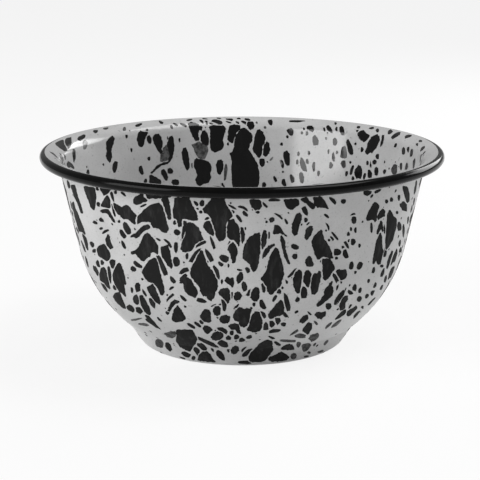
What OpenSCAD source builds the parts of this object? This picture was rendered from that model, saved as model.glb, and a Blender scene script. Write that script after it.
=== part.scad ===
// Enamelled steel basin bowl: one pressed sheet with a stepped foot, a flared wall and a rolled rim.
// Glass enamel is fused to both faces of the sheet in a ground coat and a cover coat.
// Sizes are in millimetres, +Z is up, and the origin is the centre of the face that it stands on.

/* [Rim] */
// Diameter over the rolled rim
rim_diameter = 204; // [190:1:230]
// Height from the standing face to the top of the rim
height = 99.5; // [85:0.5:120]
// Diameter of the rolled bead with its enamel
bead_diameter = 5.2; // [4:0.1:8]
// Gap left between the rolled edge and the underside of the lip
seam_gap = 0.3; // [0.2:0.1:0.8]
// Width of the lip, from the outside of the rim to where the lines of the wall and the lip would cross
lip_width = 8.7; // [7:0.1:16]
// Slope of the lip that runs into the bead, in degrees
lip_slope = 18; // [8:1:28]
// Radius of the bend from the wall into the lip, on the outside
lip_bend = 5.5; // [2:0.5:7]
// Where the black band starts on the bead, in degrees above its outermost point
band_start = 84; // [60:1:100]

/* [Wall] */
// Lean of the wall from upright, in degrees
wall_lean = 12.5; // [6:0.5:18]
// Radius of the belly below the wall, on the outside
belly_radius = 73; // [50:1:110]
// Lean of the belly where it reaches the foot, in degrees
belly_lean = 50.5; // [42:0.5:65]

/* [Foot] */
// Height of the waist between the belly and the foot
foot_height = 11; // [8:0.5:16]
// Lean of the foot's side from upright, in degrees
foot_lean = 33; // [15:1:40]
// Radius of the bend at the waist, on the outside
waist_bend = 3; // [1:0.5:6]
// Radius of the foot's lower edge, on the outside
foot_edge = 5.5; // [3:0.5:8]
// Width of the flat ring that the bowl stands on
standing_width = 5; // [2:0.5:12]
// Rise of the base at its centre, inside the standing ring
base_rise = 2; // [0.5:0.5:6]
// Radius of the bend from the standing ring into the base, on the outside
base_bend = 8; // [3:0.5:14]

/* [Sheet and enamel] */
// Thickness of the steel sheet
sheet = 0.6; // [0.4:0.05:0.9]
// Thickness of the ground coat on each face
ground_coat = 0.1; // [0.06:0.01:0.16]
// Thickness of the cover coat on each face
cover_coat = 0.2; // [0.12:0.01:0.3]
// Clearance that keeps each curved coat from cutting into the face that it is fused to
coat_clearance = 0.08; // [0.04:0.01:0.12]

/* [Hidden] */

// Facets round the bowl, and how far a chord may stray from a bend
$fn = 180;
chord_stray = 0.01;

steel_colour = "silver";
ground_colour = [0.10, 0.11, 0.15];
cover_colour = [0.83, 0.83, 0.82];
band_colour = [0.05, 0.05, 0.05];

// Depth of both faces of each layer below the outermost enamel, through the wall from the outside in
outer_cover = [0, cover_coat];
outer_ground = under(outer_cover, ground_coat);
steel = under(outer_ground, sheet);
inner_ground = under(steel, ground_coat);
inner_cover = under(inner_ground, cover_coat);
wall = inner_cover[1];

// The depths of a layer that lies a clearance under another
function under(layer, thickness) =
    let (top = layer[1] + coat_clearance) [top, top + thickness];

// A unit step at an angle from the radius, in the plane of the section
function along(angle) = [cos(angle), sin(angle)];
function angle_of(step) = atan2(step.y, step.x);

// Directions up each straight stretch, and out of its outer face
wall_up = along(90 - wall_lean);
wall_out = along(-wall_lean);
foot_up = along(90 - foot_lean);
foot_out = along(-foot_lean);
lip_along = along(lip_slope);
lip_out = along(lip_slope - 90);

// Bead, and the corner where the outer faces of the lip and the wall would cross
bead_r = bead_diameter / 2;
bead_at = [rim_diameter / 2 - bead_r, height - bead_r];
bead_core = bead_r - wall;
lip_at = bead_at - bead_core * lip_out;
mouth_r = rim_diameter / 2 - lip_width;
mouth_at = [mouth_r, lip_at.y - (lip_at.x - mouth_r) * tan(lip_slope)];
lip_bend_at = mouth_at + lip_bend * (wall_out + lip_out) / (1 + wall_out * lip_out);

// The roll ends where its edge comes within the seam gap of the lip
roll_tip = asin((bead_core - seam_gap) / bead_r);
roll_end = lip_slope - 180 - roll_tip;
roll_start = lip_slope + 90;

// Belly: tangent to the wall, and at its full lean where it meets the foot at the waist
belly_z = foot_height + belly_radius * sin(belly_lean);
belly_r = (mouth_at * wall_out - belly_radius + belly_z * sin(wall_lean)) / cos(wall_lean);
belly_at = [belly_r, belly_z];
waist_at = belly_at + belly_radius * along(-belly_lean);

// Waist bend: tangent to the foot's side and to the belly
waist_reach = waist_at + waist_bend * foot_out - belly_at;
waist_run = waist_reach * foot_up;
waist_drop = sqrt(pow(waist_run, 2) + pow(belly_radius + waist_bend, 2) - waist_reach * waist_reach);
waist_bend_at = belly_at + waist_reach - (waist_run + waist_drop) * foot_up;
belly_start = angle_of(waist_bend_at - belly_at);

// Foot edge and standing ring, and the shallow dome of the base that runs into the ring
ring_outer = waist_at.x - ((foot_height - foot_edge) * sin(foot_lean) + foot_edge) / cos(foot_lean);
ring_inner = ring_outer - standing_width;
dome_radius = (pow(ring_inner, 2) / base_rise + base_rise) / 2 - base_bend;
dome_at = [0, base_rise - dome_radius];
base_bend_at = [ring_inner, base_bend];
dome_end = angle_of(base_bend_at - dome_at);

// Every bend of the section from the axis to the lip: centre, outer radius, whether the radius
// grows (1) or shrinks (-1) with depth, and the angles between which it runs
BENDS = [
    [dome_at, dome_radius, 1, 90, dome_end],
    [base_bend_at, base_bend, -1, dome_end - 180, -90],
    [[ring_outer, foot_edge], foot_edge, -1, -90, -foot_lean],
    [waist_bend_at, waist_bend, 1, 180 - foot_lean, belly_start + 180],
    [belly_at, belly_radius, -1, belly_start, -wall_lean],
    [lip_bend_at, lip_bend, 1, 180 - wall_lean, roll_start],
];

function arc(centre, radius, from, to, count) =
    [for (i = [0 : count]) centre + radius * along(from + (to - from) * i / count)];

// Chords that a sweep needs to stay within the stray
function chords(radius, sweep) = max(2, ceil(abs(sweep) / (2 * acos(1 - chord_stray / radius))));

function bend(b, depth) = arc(b[0], b[1] + b[2] * depth, b[3], b[4], chords(b[1], b[4] - b[3]));

// Section of one face from the axis to the end of the lip's bend
function face(depth) = [for (b = BENDS) each bend(b, depth)];

// Section of one face round the bead
function roll(depth, from, to) = arc(bead_at, bead_core + depth, from, to, chords(bead_r, to - from));

// Where a coat under the lip ends, in line with the rolled edge of the sheet
coat_end = bead_at - (bead_core + steel[0]) * cos(roll_tip) * lip_along;
function lip_end(depth) = [coat_end - (bead_core + depth) * lip_out];

function reversed(points) = [for (i = [len(points) - 1 : -1 : 0]) points[i]];

// Sections of a face that follows the roll to an angle, and of one that stops under the lip
function rolled_face(depth, to) = concat(face(depth), roll(depth, roll_start, to));
function lipped_face(depth) = concat(face(depth), lip_end(depth));

// A layer turned about the axis between the sections of its two faces
module layer(outer_face, inner_face) {
    rotate_extrude() polygon(concat(outer_face, reversed(inner_face)));
}

// The one pressed sheet, with its edge rolled outwards into a hollow bead
module steel_shell() {
    color(steel_colour) layer(rolled_face(steel[0], roll_end), rolled_face(steel[1], roll_end));
}

// Dark bonding coat on the inside, over the lip and round the bead
module ground_coat_inside() {
    color(ground_colour)
        layer(rolled_face(inner_ground[0], roll_end), rolled_face(inner_ground[1], roll_end));
}

// Dark bonding coat on the outside, up to the seam under the lip
module ground_coat_outside() {
    color(ground_colour) layer(lipped_face(outer_ground[0]), lipped_face(outer_ground[1]));
}

// Pale coat on the inside, over the lip and the crest of the bead
module cover_coat_inside() {
    color(cover_colour)
        layer(rolled_face(inner_cover[0], band_start), rolled_face(inner_cover[1], band_start));
}

// Pale coat on the outside, which the bowl stands on
module cover_coat_outside() {
    color(cover_colour) layer(lipped_face(outer_cover[0]), lipped_face(outer_cover[1]));
}

// Black band round the outer side of the bead
module rim_band() {
    color(band_colour)
        layer(roll(inner_cover[0], band_start, roll_end), roll(inner_cover[1], band_start, roll_end));
}

steel_shell();
ground_coat_inside();
ground_coat_outside();
cover_coat_inside();
cover_coat_outside();
rim_band();
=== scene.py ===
"""Looks of an enamelled steel basin bowl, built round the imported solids. Lengths are in metres."""
import logging
import math
from collections import Counter
from dataclasses import dataclass
from enum import Enum

import bpy
import numpy as np
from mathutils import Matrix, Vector


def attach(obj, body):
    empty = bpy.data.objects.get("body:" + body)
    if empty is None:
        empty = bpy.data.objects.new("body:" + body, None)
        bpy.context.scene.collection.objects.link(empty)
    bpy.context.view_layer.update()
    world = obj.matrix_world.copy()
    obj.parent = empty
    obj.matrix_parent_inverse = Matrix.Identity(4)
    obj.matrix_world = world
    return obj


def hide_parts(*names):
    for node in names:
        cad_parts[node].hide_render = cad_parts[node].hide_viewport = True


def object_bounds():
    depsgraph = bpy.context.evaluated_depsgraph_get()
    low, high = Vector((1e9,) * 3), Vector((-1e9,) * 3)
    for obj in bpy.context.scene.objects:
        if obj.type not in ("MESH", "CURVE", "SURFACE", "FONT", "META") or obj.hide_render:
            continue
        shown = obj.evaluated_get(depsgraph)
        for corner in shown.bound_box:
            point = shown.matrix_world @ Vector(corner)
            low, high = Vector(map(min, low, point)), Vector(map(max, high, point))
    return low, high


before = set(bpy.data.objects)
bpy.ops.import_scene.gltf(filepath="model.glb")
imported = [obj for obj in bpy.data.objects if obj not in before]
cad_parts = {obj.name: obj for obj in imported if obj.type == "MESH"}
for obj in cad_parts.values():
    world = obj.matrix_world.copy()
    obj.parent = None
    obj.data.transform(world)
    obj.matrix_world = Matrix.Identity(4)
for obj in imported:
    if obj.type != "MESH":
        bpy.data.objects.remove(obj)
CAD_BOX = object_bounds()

log = logging.getLogger("basin_bowl")

MM = 0.001
BODY = "root"
TURN = 2 * math.pi
MERGE = 0.002 * MM
INSET = 0.001 * MM
ENAMEL_IOR = 1.5

Socket = bpy.types.NodeSocket
Colour = tuple[float, float, float, float]


class Face(Enum):
    """The two faces of the wall."""

    OUTSIDE = "outside"
    INSIDE = "inside"


def unit_step(degrees: float) -> np.ndarray:
    """A unit step at an angle from the radius, in the plane of the section."""
    return np.array([math.cos(math.radians(degrees)), math.sin(math.radians(degrees))])


def angle_of(step: np.ndarray) -> float:
    """The angle of a step in the plane of the section, in degrees."""
    return math.degrees(math.atan2(step[1], step[0]))


def arc(centre: np.ndarray, radius: float, start: float, end: float, stray: float) -> np.ndarray:
    """Draw an arc of the section.

    Args:
        centre: Centre of the arc, as radius and height.
        radius: Radius of the arc.
        start: Angle that it starts at, in degrees.
        end: Angle that it ends at, in degrees.
        stray: How far a chord may stray from the arc.

    Returns:
        The points along the arc, both ends included.
    """
    chord = 2 * math.degrees(math.acos(1 - stray / radius))
    count = max(3, math.ceil(abs(end - start) / chord))
    return np.array([centre + radius * unit_step(a) for a in np.linspace(start, end, count + 1)])


@dataclass
class BowlSection:
    """The turned section of the wall, with the driving sizes of the solids."""

    rim_diameter: float
    height: float
    bead_diameter: float = 5.2 * MM
    lip_width: float = 8.7 * MM
    lip_slope: float = 18.0
    lip_bend: float = 5.5 * MM
    seam_gap: float = 0.3 * MM
    band_start: float = 84.0
    wall_lean: float = 12.5
    belly_radius: float = 73 * MM
    belly_lean: float = 50.5
    foot_height: float = 11 * MM
    foot_lean: float = 33.0
    waist_bend: float = 3 * MM
    foot_edge: float = 5.5 * MM
    standing_width: float = 5 * MM
    base_rise: float = 2 * MM
    base_bend: float = 8 * MM
    sheet: float = 0.6 * MM
    ground_coat: float = 0.1 * MM
    cover_coat: float = 0.2 * MM
    coat_clearance: float = 0.08 * MM
    chord_stray: float = 0.004 * MM

    def __post_init__(self) -> None:
        """Work out the bends of the section from the driving sizes."""
        self.wall = self.sheet + 2 * (self.ground_coat + self.cover_coat) + 4 * self.coat_clearance
        wall_out = unit_step(-self.wall_lean)
        foot_up = unit_step(90 - self.foot_lean)
        foot_out = unit_step(-self.foot_lean)
        lip_out = unit_step(self.lip_slope - 90)

        bead_radius = self.bead_diameter / 2
        self.bead_at = np.array([self.rim_diameter / 2 - bead_radius, self.height - bead_radius])
        self.bead_core = bead_radius - self.wall
        lip_at = self.bead_at - self.bead_core * lip_out
        mouth_radius = self.rim_diameter / 2 - self.lip_width
        lip_drop = (lip_at[0] - mouth_radius) * math.tan(math.radians(self.lip_slope))
        mouth_at = np.array([mouth_radius, lip_at[1] - lip_drop])
        lip_bend_at = mouth_at + self.lip_bend * (wall_out + lip_out) / (1 + wall_out @ lip_out)
        self.roll_start = self.lip_slope + 90
        roll_tip = math.degrees(math.asin((self.bead_core - self.seam_gap) / bead_radius))
        self.roll_end = self.lip_slope - 180 - roll_tip
        steel_top = self.cover_coat + self.ground_coat + 2 * self.coat_clearance
        seam_reach = (self.bead_core + steel_top) * math.cos(math.radians(roll_tip))
        self.coat_end = self.bead_at - seam_reach * unit_step(self.lip_slope)
        self.lip_out = lip_out

        belly_height = self.foot_height + self.belly_radius * math.sin(math.radians(self.belly_lean))
        lean_sine = math.sin(math.radians(self.wall_lean))
        lean_cosine = math.cos(math.radians(self.wall_lean))
        belly_out = (mouth_at @ wall_out - self.belly_radius + belly_height * lean_sine) / lean_cosine
        belly_at = np.array([belly_out, belly_height])
        waist_at = belly_at + self.belly_radius * unit_step(-self.belly_lean)
        reach = waist_at + self.waist_bend * foot_out - belly_at
        run = reach @ foot_up
        drop = math.sqrt(run ** 2 + (self.belly_radius + self.waist_bend) ** 2 - reach @ reach)
        waist_bend_at = belly_at + reach - (run + drop) * foot_up
        belly_start = angle_of(waist_bend_at - belly_at)

        side = (self.foot_height - self.foot_edge) * math.sin(math.radians(self.foot_lean)) + self.foot_edge
        ring_outer = waist_at[0] - side / math.cos(math.radians(self.foot_lean))
        ring_inner = ring_outer - self.standing_width
        dome_radius = (ring_inner ** 2 / self.base_rise + self.base_rise) / 2 - self.base_bend
        dome_at = np.array([0.0, self.base_rise - dome_radius])
        base_bend_at = np.array([ring_inner, self.base_bend])
        dome_end = angle_of(base_bend_at - dome_at)
        ring_at = np.array([ring_outer, self.foot_edge])
        self.bends = (
            (dome_at, dome_radius, 1, 90.0, dome_end),
            (base_bend_at, self.base_bend, -1, dome_end - 180, -90.0),
            (ring_at, self.foot_edge, -1, -90.0, -self.foot_lean),
            (waist_bend_at, self.waist_bend, 1, 180 - self.foot_lean, belly_start + 180),
            (belly_at, self.belly_radius, -1, belly_start, -self.wall_lean),
            (lip_bend_at, self.lip_bend, 1, 180 - self.wall_lean, self.roll_start),
        )

    def face(self, depth: float) -> np.ndarray:
        """Draw a face from the axis to the end of the lip's bend.

        Args:
            depth: Depth of the face below the outermost enamel.

        Returns:
            The points of the face, as radius and height.
        """
        arcs = [arc(at, radius + grows * depth, start, end, self.chord_stray)
                for at, radius, grows, start, end in self.bends]
        points = np.concatenate(arcs)
        points[0, 0] = 0.0
        return points

    def roll(self, depth: float, start: float, end: float) -> np.ndarray:
        """Draw a face round the bead between two angles."""
        return arc(self.bead_at, self.bead_core + depth, start, end, self.chord_stray)

    def outside(self, depth: float) -> np.ndarray:
        """Draw a face of the outer coat, which stops under the lip."""
        end = self.coat_end - (self.bead_core + depth) * self.lip_out
        return np.vstack([self.face(depth), end])

    def inside(self, depth: float) -> np.ndarray:
        """Draw a face of the inner coat, which goes over the lip to the black band."""
        return np.vstack([self.face(depth), self.roll(depth, self.roll_start, self.band_start)[1:]])


@dataclass(frozen=True)
class PhotoView:
    """The camera that the photograph was taken with, and its pixels."""

    distance: float = 850 * MM
    elevation: float = 13.45
    target_height: float = 51.3 * MM
    pixels_per_metre: float = 1949.0
    frame_pixels: int = 480
    axis_x: float = 242.0
    axis_y: float = 240.5
    sensor_mm: float = 36.0

    @property
    def focal_pixels(self) -> float:
        """Focal length in pixels."""
        return self.pixels_per_metre * self.distance

    @property
    def back(self) -> np.ndarray:
        """Unit step from the target to the camera."""
        tilt = math.radians(self.elevation)
        return np.array([0.0, -math.cos(tilt), math.sin(tilt)])

    @property
    def up(self) -> np.ndarray:
        """Unit step up the picture."""
        tilt = math.radians(self.elevation)
        return np.array([0.0, math.sin(tilt), math.cos(tilt)])

    @property
    def place(self) -> np.ndarray:
        """Where the camera stands."""
        return np.array([0.0, 0.0, self.target_height]) + self.distance * self.back

    def rays(self, pixels: np.ndarray) -> np.ndarray:
        """Directions from the camera through pixels.

        Args:
            pixels: Rows of x and y in the photograph.

        Returns:
            One direction for each row.
        """
        across = (pixels[:, 0] + 0.5 - self.axis_x) / self.focal_pixels
        down = (pixels[:, 1] + 0.5 - self.axis_y) / self.focal_pixels
        return across[:, None] * np.array([1.0, 0, 0]) - down[:, None] * self.up - self.back

    def set_camera(self) -> bpy.types.Object:
        """Add the scene's camera at this view.

        Returns:
            The camera.
        """
        data = bpy.data.cameras.new("photo_view")
        data.sensor_width = self.sensor_mm
        data.lens = self.focal_pixels / self.frame_pixels * self.sensor_mm
        data.shift_x = (self.frame_pixels / 2 - self.axis_x) / self.frame_pixels
        data.shift_y = (self.axis_y - self.frame_pixels / 2) / self.frame_pixels
        camera = bpy.data.objects.new("photo_view", data)
        bpy.context.scene.collection.objects.link(camera)
        camera.location = Vector(self.place)
        camera.rotation_euler = Vector(-self.back).to_track_quat("-Z", "Y").to_euler()
        bpy.context.scene.camera = camera
        return camera


class Chart:
    """A face of the wall as a map of azimuth and run, the length up the section."""

    LEAST_STEP = 1e-9
    LEAST_CURVE = 1e-15

    def __init__(self, points: np.ndarray, face: Face) -> None:
        """Measure the section of a face.

        Args:
            points: Points of the section from the axis out, as radius and height.
            face: Which side of the wall it is.
        """
        apart = np.linalg.norm(np.diff(points, axis=0), axis=1) > self.LEAST_STEP
        points = points[np.concatenate([[True], apart])]
        self.points = points
        self.side = 1 if face is Face.OUTSIDE else -1
        steps = np.diff(points, axis=0)
        lengths = np.hypot(steps[:, 0], steps[:, 1])
        self.runs = np.concatenate([[0.0], np.cumsum(lengths)])
        normals = self.side * np.column_stack([steps[:, 1], -steps[:, 0]]) / lengths[:, None]
        self.facing = normals
        joined = np.vstack([normals[:1], normals[:-1] + normals[1:], normals[-1:]])
        self.normals = joined / np.linalg.norm(joined, axis=1)[:, None]

    def radius(self, run: np.ndarray) -> np.ndarray:
        """Radius of the face at a run."""
        return np.interp(run, self.runs, self.points[:, 0])

    def level(self, run: np.ndarray) -> np.ndarray:
        """Height of the face at a run."""
        return np.interp(run, self.runs, self.points[:, 1])

    def run_at_level(self, height: float) -> float:
        """The first run at which the face reaches a height, or else its end."""
        above = np.nonzero(self.points[:, 1] >= height)[0]
        return float(self.runs[above[0]]) if len(above) else float(self.runs[-1])

    def place(self, azimuth: np.ndarray, run: np.ndarray, lift: np.ndarray) -> np.ndarray:
        """Points above the face.

        Args:
            azimuth: Angles round the axis, in radians.
            run: Lengths up the section.
            lift: Heights above the face.

        Returns:
            Rows of x, y and z.
        """
        out = np.interp(run, self.runs, self.normals[:, 0])
        up = np.interp(run, self.runs, self.normals[:, 1])
        radius = self.radius(run) + lift * out
        level = self.level(run) + lift * up
        return np.column_stack([radius * np.cos(azimuth), radius * np.sin(azimuth), level])

    def cast(self, origin: np.ndarray, rays: np.ndarray) -> np.ndarray:
        """Find where rays first meet the face from its own side.

        Args:
            origin: Where the rays start.
            rays: Rows of directions.

        Returns:
            Rows of azimuth and run, or nan where a ray misses.
        """
        low, high = self.points[:-1], self.points[1:]
        rise, spread = (high - low)[:, 1], (high - low)[:, 0]
        found = np.full((len(rays), 2), np.nan)
        for i, ray in enumerate(rays):
            first = (low[:, 1] - origin[2]) / ray[2]
            step = rise / ray[2]
            x0, x1 = origin[0] + ray[0] * first, ray[0] * step
            y0, y1 = origin[1] + ray[1] * first, ray[1] * step
            a = x1 ** 2 + y1 ** 2 - spread ** 2
            b = x0 * x1 + y0 * y1 - low[:, 0] * spread
            c = x0 ** 2 + y0 ** 2 - low[:, 0] ** 2
            inner = b ** 2 - a * c
            root = np.sqrt(np.maximum(inner, 0))
            nearest = math.inf
            for sign in (-1, 1):
                share = (-b + sign * root) / np.where(np.abs(a) < self.LEAST_CURVE, self.LEAST_CURVE, a)
                hit = (inner >= 0) & (share >= 0) & (share <= 1)
                x, y = x0 + share * x1, y0 + share * y1
                reach = np.hypot(x, y)
                lean = ray[0] * x + ray[1] * y
                lean = lean / np.maximum(reach, self.LEAST_STEP)
                towards = self.facing[:, 0] * lean + self.facing[:, 1] * ray[2]
                along = first + share * step
                for k in np.nonzero(hit & (towards < 0) & (along > 0) & (along < nearest))[0]:
                    if along[k] < nearest:
                        nearest = along[k]
                        run = self.runs[k] + share[k] * (self.runs[k + 1] - self.runs[k])
                        found[i] = math.atan2(y[k], x[k]), run
        return found


@dataclass(frozen=True)
class Drop:
    """A splash seen in the photograph: its place and its size in pixels.

    The lean is from upright, with the lower end to the right. The taper widens the lower end, the bow
    carries the middle to the right, and the grey share makes a splash greyer: glaze laid thinly on some
    splashes, a painted highlight on the inner lip and a painted floor reflection at the foot on others.
    """

    x: float
    y: float
    long: float
    wide: float
    lean: float = 0.0
    taper: float = 0.0
    bow: float = 0.0
    thin: float = 0.0


LEFT_FLANK = (
    Drop(x=68, y=184, long=8, wide=3, lean=15), Drop(x=85, y=241, long=16, wide=3, lean=15),
    Drop(x=83, y=246, long=12, wide=2, lean=22), Drop(x=97, y=188, long=4, wide=4),
    Drop(x=105, y=190, long=9, wide=11, taper=-0.5), Drop(x=111.5, y=195, long=15, wide=3, lean=12),
    Drop(x=97.5, y=203.5, long=6, wide=4, lean=60), Drop(x=113, y=209, long=14, wide=2.5, lean=14),
    Drop(x=101, y=219.5, long=5, wide=3.5, lean=50), Drop(x=94.5, y=222, long=5, wide=3, lean=60),
    Drop(x=100.5, y=228, long=3.5, wide=2.5, lean=-70), Drop(x=118.5, y=221, long=3, wide=2.5),
    Drop(x=105, y=231, long=7.5, wide=2.5, lean=-60), Drop(x=126.5, y=228, long=12, wide=6, lean=22),
    Drop(x=122.5, y=233.5, long=9.5, wide=4.5, lean=35), Drop(x=122.8, y=244, long=9, wide=3, lean=25),
    Drop(x=91.5, y=244, long=6, wide=3.5, lean=30), Drop(x=93.5, y=250.5, long=4, wide=3.5),
    Drop(x=97.5, y=263.5, long=7.5, wide=3.5, lean=15), Drop(x=101.5, y=262, long=5, wide=3.5),
    Drop(x=95.5, y=270, long=10, wide=3.5, lean=28), Drop(x=112, y=263.5, long=8.5, wide=5.5, lean=10),
    Drop(x=109, y=274, long=16, wide=3, lean=6), Drop(x=104, y=287, long=10, wide=2.5, lean=35),
    Drop(x=114.5, y=286.5, long=6.5, wide=4), Drop(x=130, y=308, long=8, wide=5.5, lean=55),
    Drop(x=138.5, y=310, long=8, wide=5, lean=50), Drop(x=135.5, y=299.5, long=9.5, wide=5.5, lean=15),
    Drop(x=131.5, y=289.5, long=5.5, wide=2.5, lean=5), Drop(x=137.5, y=287, long=9, wide=6.5, lean=10),
    Drop(x=133, y=268.5, long=6, wide=4.5, lean=60), Drop(x=137, y=264, long=10, wide=4, lean=52),
    Drop(x=123, y=193.5, long=6, wide=2.5, lean=50), Drop(x=115, y=191.5, long=4, wide=3),
)
CENTRE_LEFT = (
    Drop(x=143, y=205, long=7, wide=2, lean=-65), Drop(x=174.5, y=222, long=5, wide=3.5, lean=-35),
    Drop(x=176.5, y=232, long=6.5, wide=5.5, lean=50), Drop(x=158, y=239, long=5, wide=2, lean=60),
    Drop(x=167, y=243, long=11, wide=3, lean=40, bow=1), Drop(x=175.5, y=246.5, long=10, wide=4),
    Drop(x=161, y=264, long=25, wide=5, lean=25), Drop(x=175.5, y=261.5, long=9.5, wide=7, lean=20),
    Drop(x=143.5, y=292, long=12, wide=2.5, lean=35), Drop(x=151.5, y=302, long=12, wide=4.5, lean=25),
    Drop(x=171.5, y=279, long=9, wide=4, lean=45), Drop(x=171, y=287.5, long=5, wide=2.5, lean=-60),
    Drop(x=184, y=270.5, long=10, wide=5, lean=-65), Drop(x=167, y=312, long=4, wide=4),
    Drop(x=170, y=297, long=10, wide=3, lean=-45, bow=-1), Drop(x=183, y=298, long=8, wide=3, lean=45),
    Drop(x=200.5, y=244, long=11, wide=3.5, lean=-60, bow=-1),
    Drop(x=195, y=255.5, long=16, wide=5.5, lean=-38), Drop(x=208.5, y=255, long=14, wide=4.5, lean=28),
    Drop(x=186.5, y=255, long=7, wide=3), Drop(x=201.5, y=203, long=6, wide=5),
    Drop(x=195.5, y=203, long=6, wide=3, lean=45), Drop(x=200.5, y=211.5, long=3, wide=4),
    Drop(x=206.5, y=218, long=5, wide=2.5, lean=-60), Drop(x=212, y=242.5, long=13, wide=3, lean=20),
    Drop(x=201, y=300, long=10, wide=4, lean=75), Drop(x=216, y=274, long=17, wide=5, lean=15),
)
CENTRE = (
    Drop(x=232, y=206.5, long=9, wide=2.5, lean=60), Drop(x=232.5, y=211.5, long=4, wide=3, lean=50),
    Drop(x=242.5, y=208, long=10, wide=3, lean=65, bow=1), Drop(x=244.5, y=213, long=7, wide=3.5, lean=42),
    Drop(x=238.5, y=218, long=9, wide=3, lean=35), Drop(x=244.5, y=228, long=3, wide=2.5),
    Drop(x=228.5, y=243, long=5, wide=2, lean=-25), Drop(x=223.5, y=258.5, long=9, wide=7.5, lean=70),
    Drop(x=220.5, y=263, long=6, wide=4.5, lean=40), Drop(x=228, y=265, long=4, wide=2),
    Drop(x=247, y=269.5, long=6, wide=4, lean=25), Drop(x=239, y=269.5, long=5, wide=2, lean=80),
    Drop(x=268.5, y=235, long=7, wide=2), Drop(x=284, y=235, long=8, wide=2.5, lean=50),
    Drop(x=271, y=219.5, long=6, wide=4.5, lean=-65),
    Drop(x=278.5, y=216.5, long=11, wide=2.2, lean=52, bow=1),
    Drop(x=285.5, y=221, long=6, wide=3, lean=30), Drop(x=290.5, y=229, long=4, wide=3),
    Drop(x=264, y=204, long=8, wide=2.5, lean=45), Drop(x=257, y=211.5, long=4.5, wide=3, lean=90),
    Drop(x=274, y=199.5, long=11, wide=3, lean=90), Drop(x=294.5, y=246.5, long=7.5, wide=5, lean=65),
    Drop(x=294.5, y=256, long=5.5, wide=5), Drop(x=304.5, y=210.5, long=9, wide=5, lean=25),
    Drop(x=305.5, y=219.5, long=5, wide=3.5), Drop(x=307.5, y=223, long=4, wide=2, lean=-40),
    Drop(x=216, y=196.5, long=10, wide=5, lean=90),
)
BELLY = (
    Drop(x=221, y=281, long=5, wide=3), Drop(x=244, y=286.5, long=10, wide=5.5, lean=15),
    Drop(x=223.5, y=304.5, long=12, wide=4.5, lean=8), Drop(x=231.5, y=295, long=7, wide=2.5),
    Drop(x=248.5, y=292.5, long=7, wide=5.5, lean=-20), Drop(x=253.5, y=304, long=4, wide=3),
    Drop(x=263, y=287.5, long=9, wide=4, lean=10), Drop(x=262, y=304.5, long=10, wide=5, lean=28),
    Drop(x=213.5, y=305, long=6, wide=2, lean=-70), Drop(x=219.5, y=304, long=5, wide=2, lean=-70),
    Drop(x=237, y=307, long=8, wide=3, lean=-55), Drop(x=250.5, y=308.5, long=4, wide=3),
    Drop(x=262.5, y=314, long=8, wide=4, lean=40), Drop(x=265.5, y=326, long=7.5, wide=6),
    Drop(x=271.5, y=323.5, long=7, wide=6, lean=-50), Drop(x=277, y=320.5, long=7, wide=5.5),
    Drop(x=283, y=324, long=5, wide=4, lean=80), Drop(x=286.5, y=302.5, long=17, wide=5, lean=12),
    Drop(x=274, y=298, long=7.5, wide=3, lean=-32), Drop(x=278, y=290.5, long=5.5, wide=5),
    Drop(x=282, y=287.5, long=3, wide=2.5), Drop(x=303.5, y=292, long=11, wide=6),
    Drop(x=297, y=299, long=5, wide=4, lean=-30), Drop(x=291.5, y=273, long=12, wide=3, lean=-42),
    Drop(x=296, y=311.5, long=4, wide=2.5, lean=-60), Drop(x=309, y=313, long=5, wide=2, lean=45),
    # The grey share of the greyed splashes from here to the end of this table is a painted floor reflection
    # near the foot's lower right.
    Drop(x=315.5, y=322.5, long=5, wide=2.5, lean=40, thin=0.3),
    Drop(x=286, y=281, long=5, wide=2.5, lean=15),
    Drop(x=328, y=306, long=6.5, wide=5.5), Drop(x=328, y=325, long=9, wide=2.5, lean=-48, thin=0.3),
    Drop(x=336, y=323, long=12, wide=3, lean=-50, thin=0.4),
)
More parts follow.
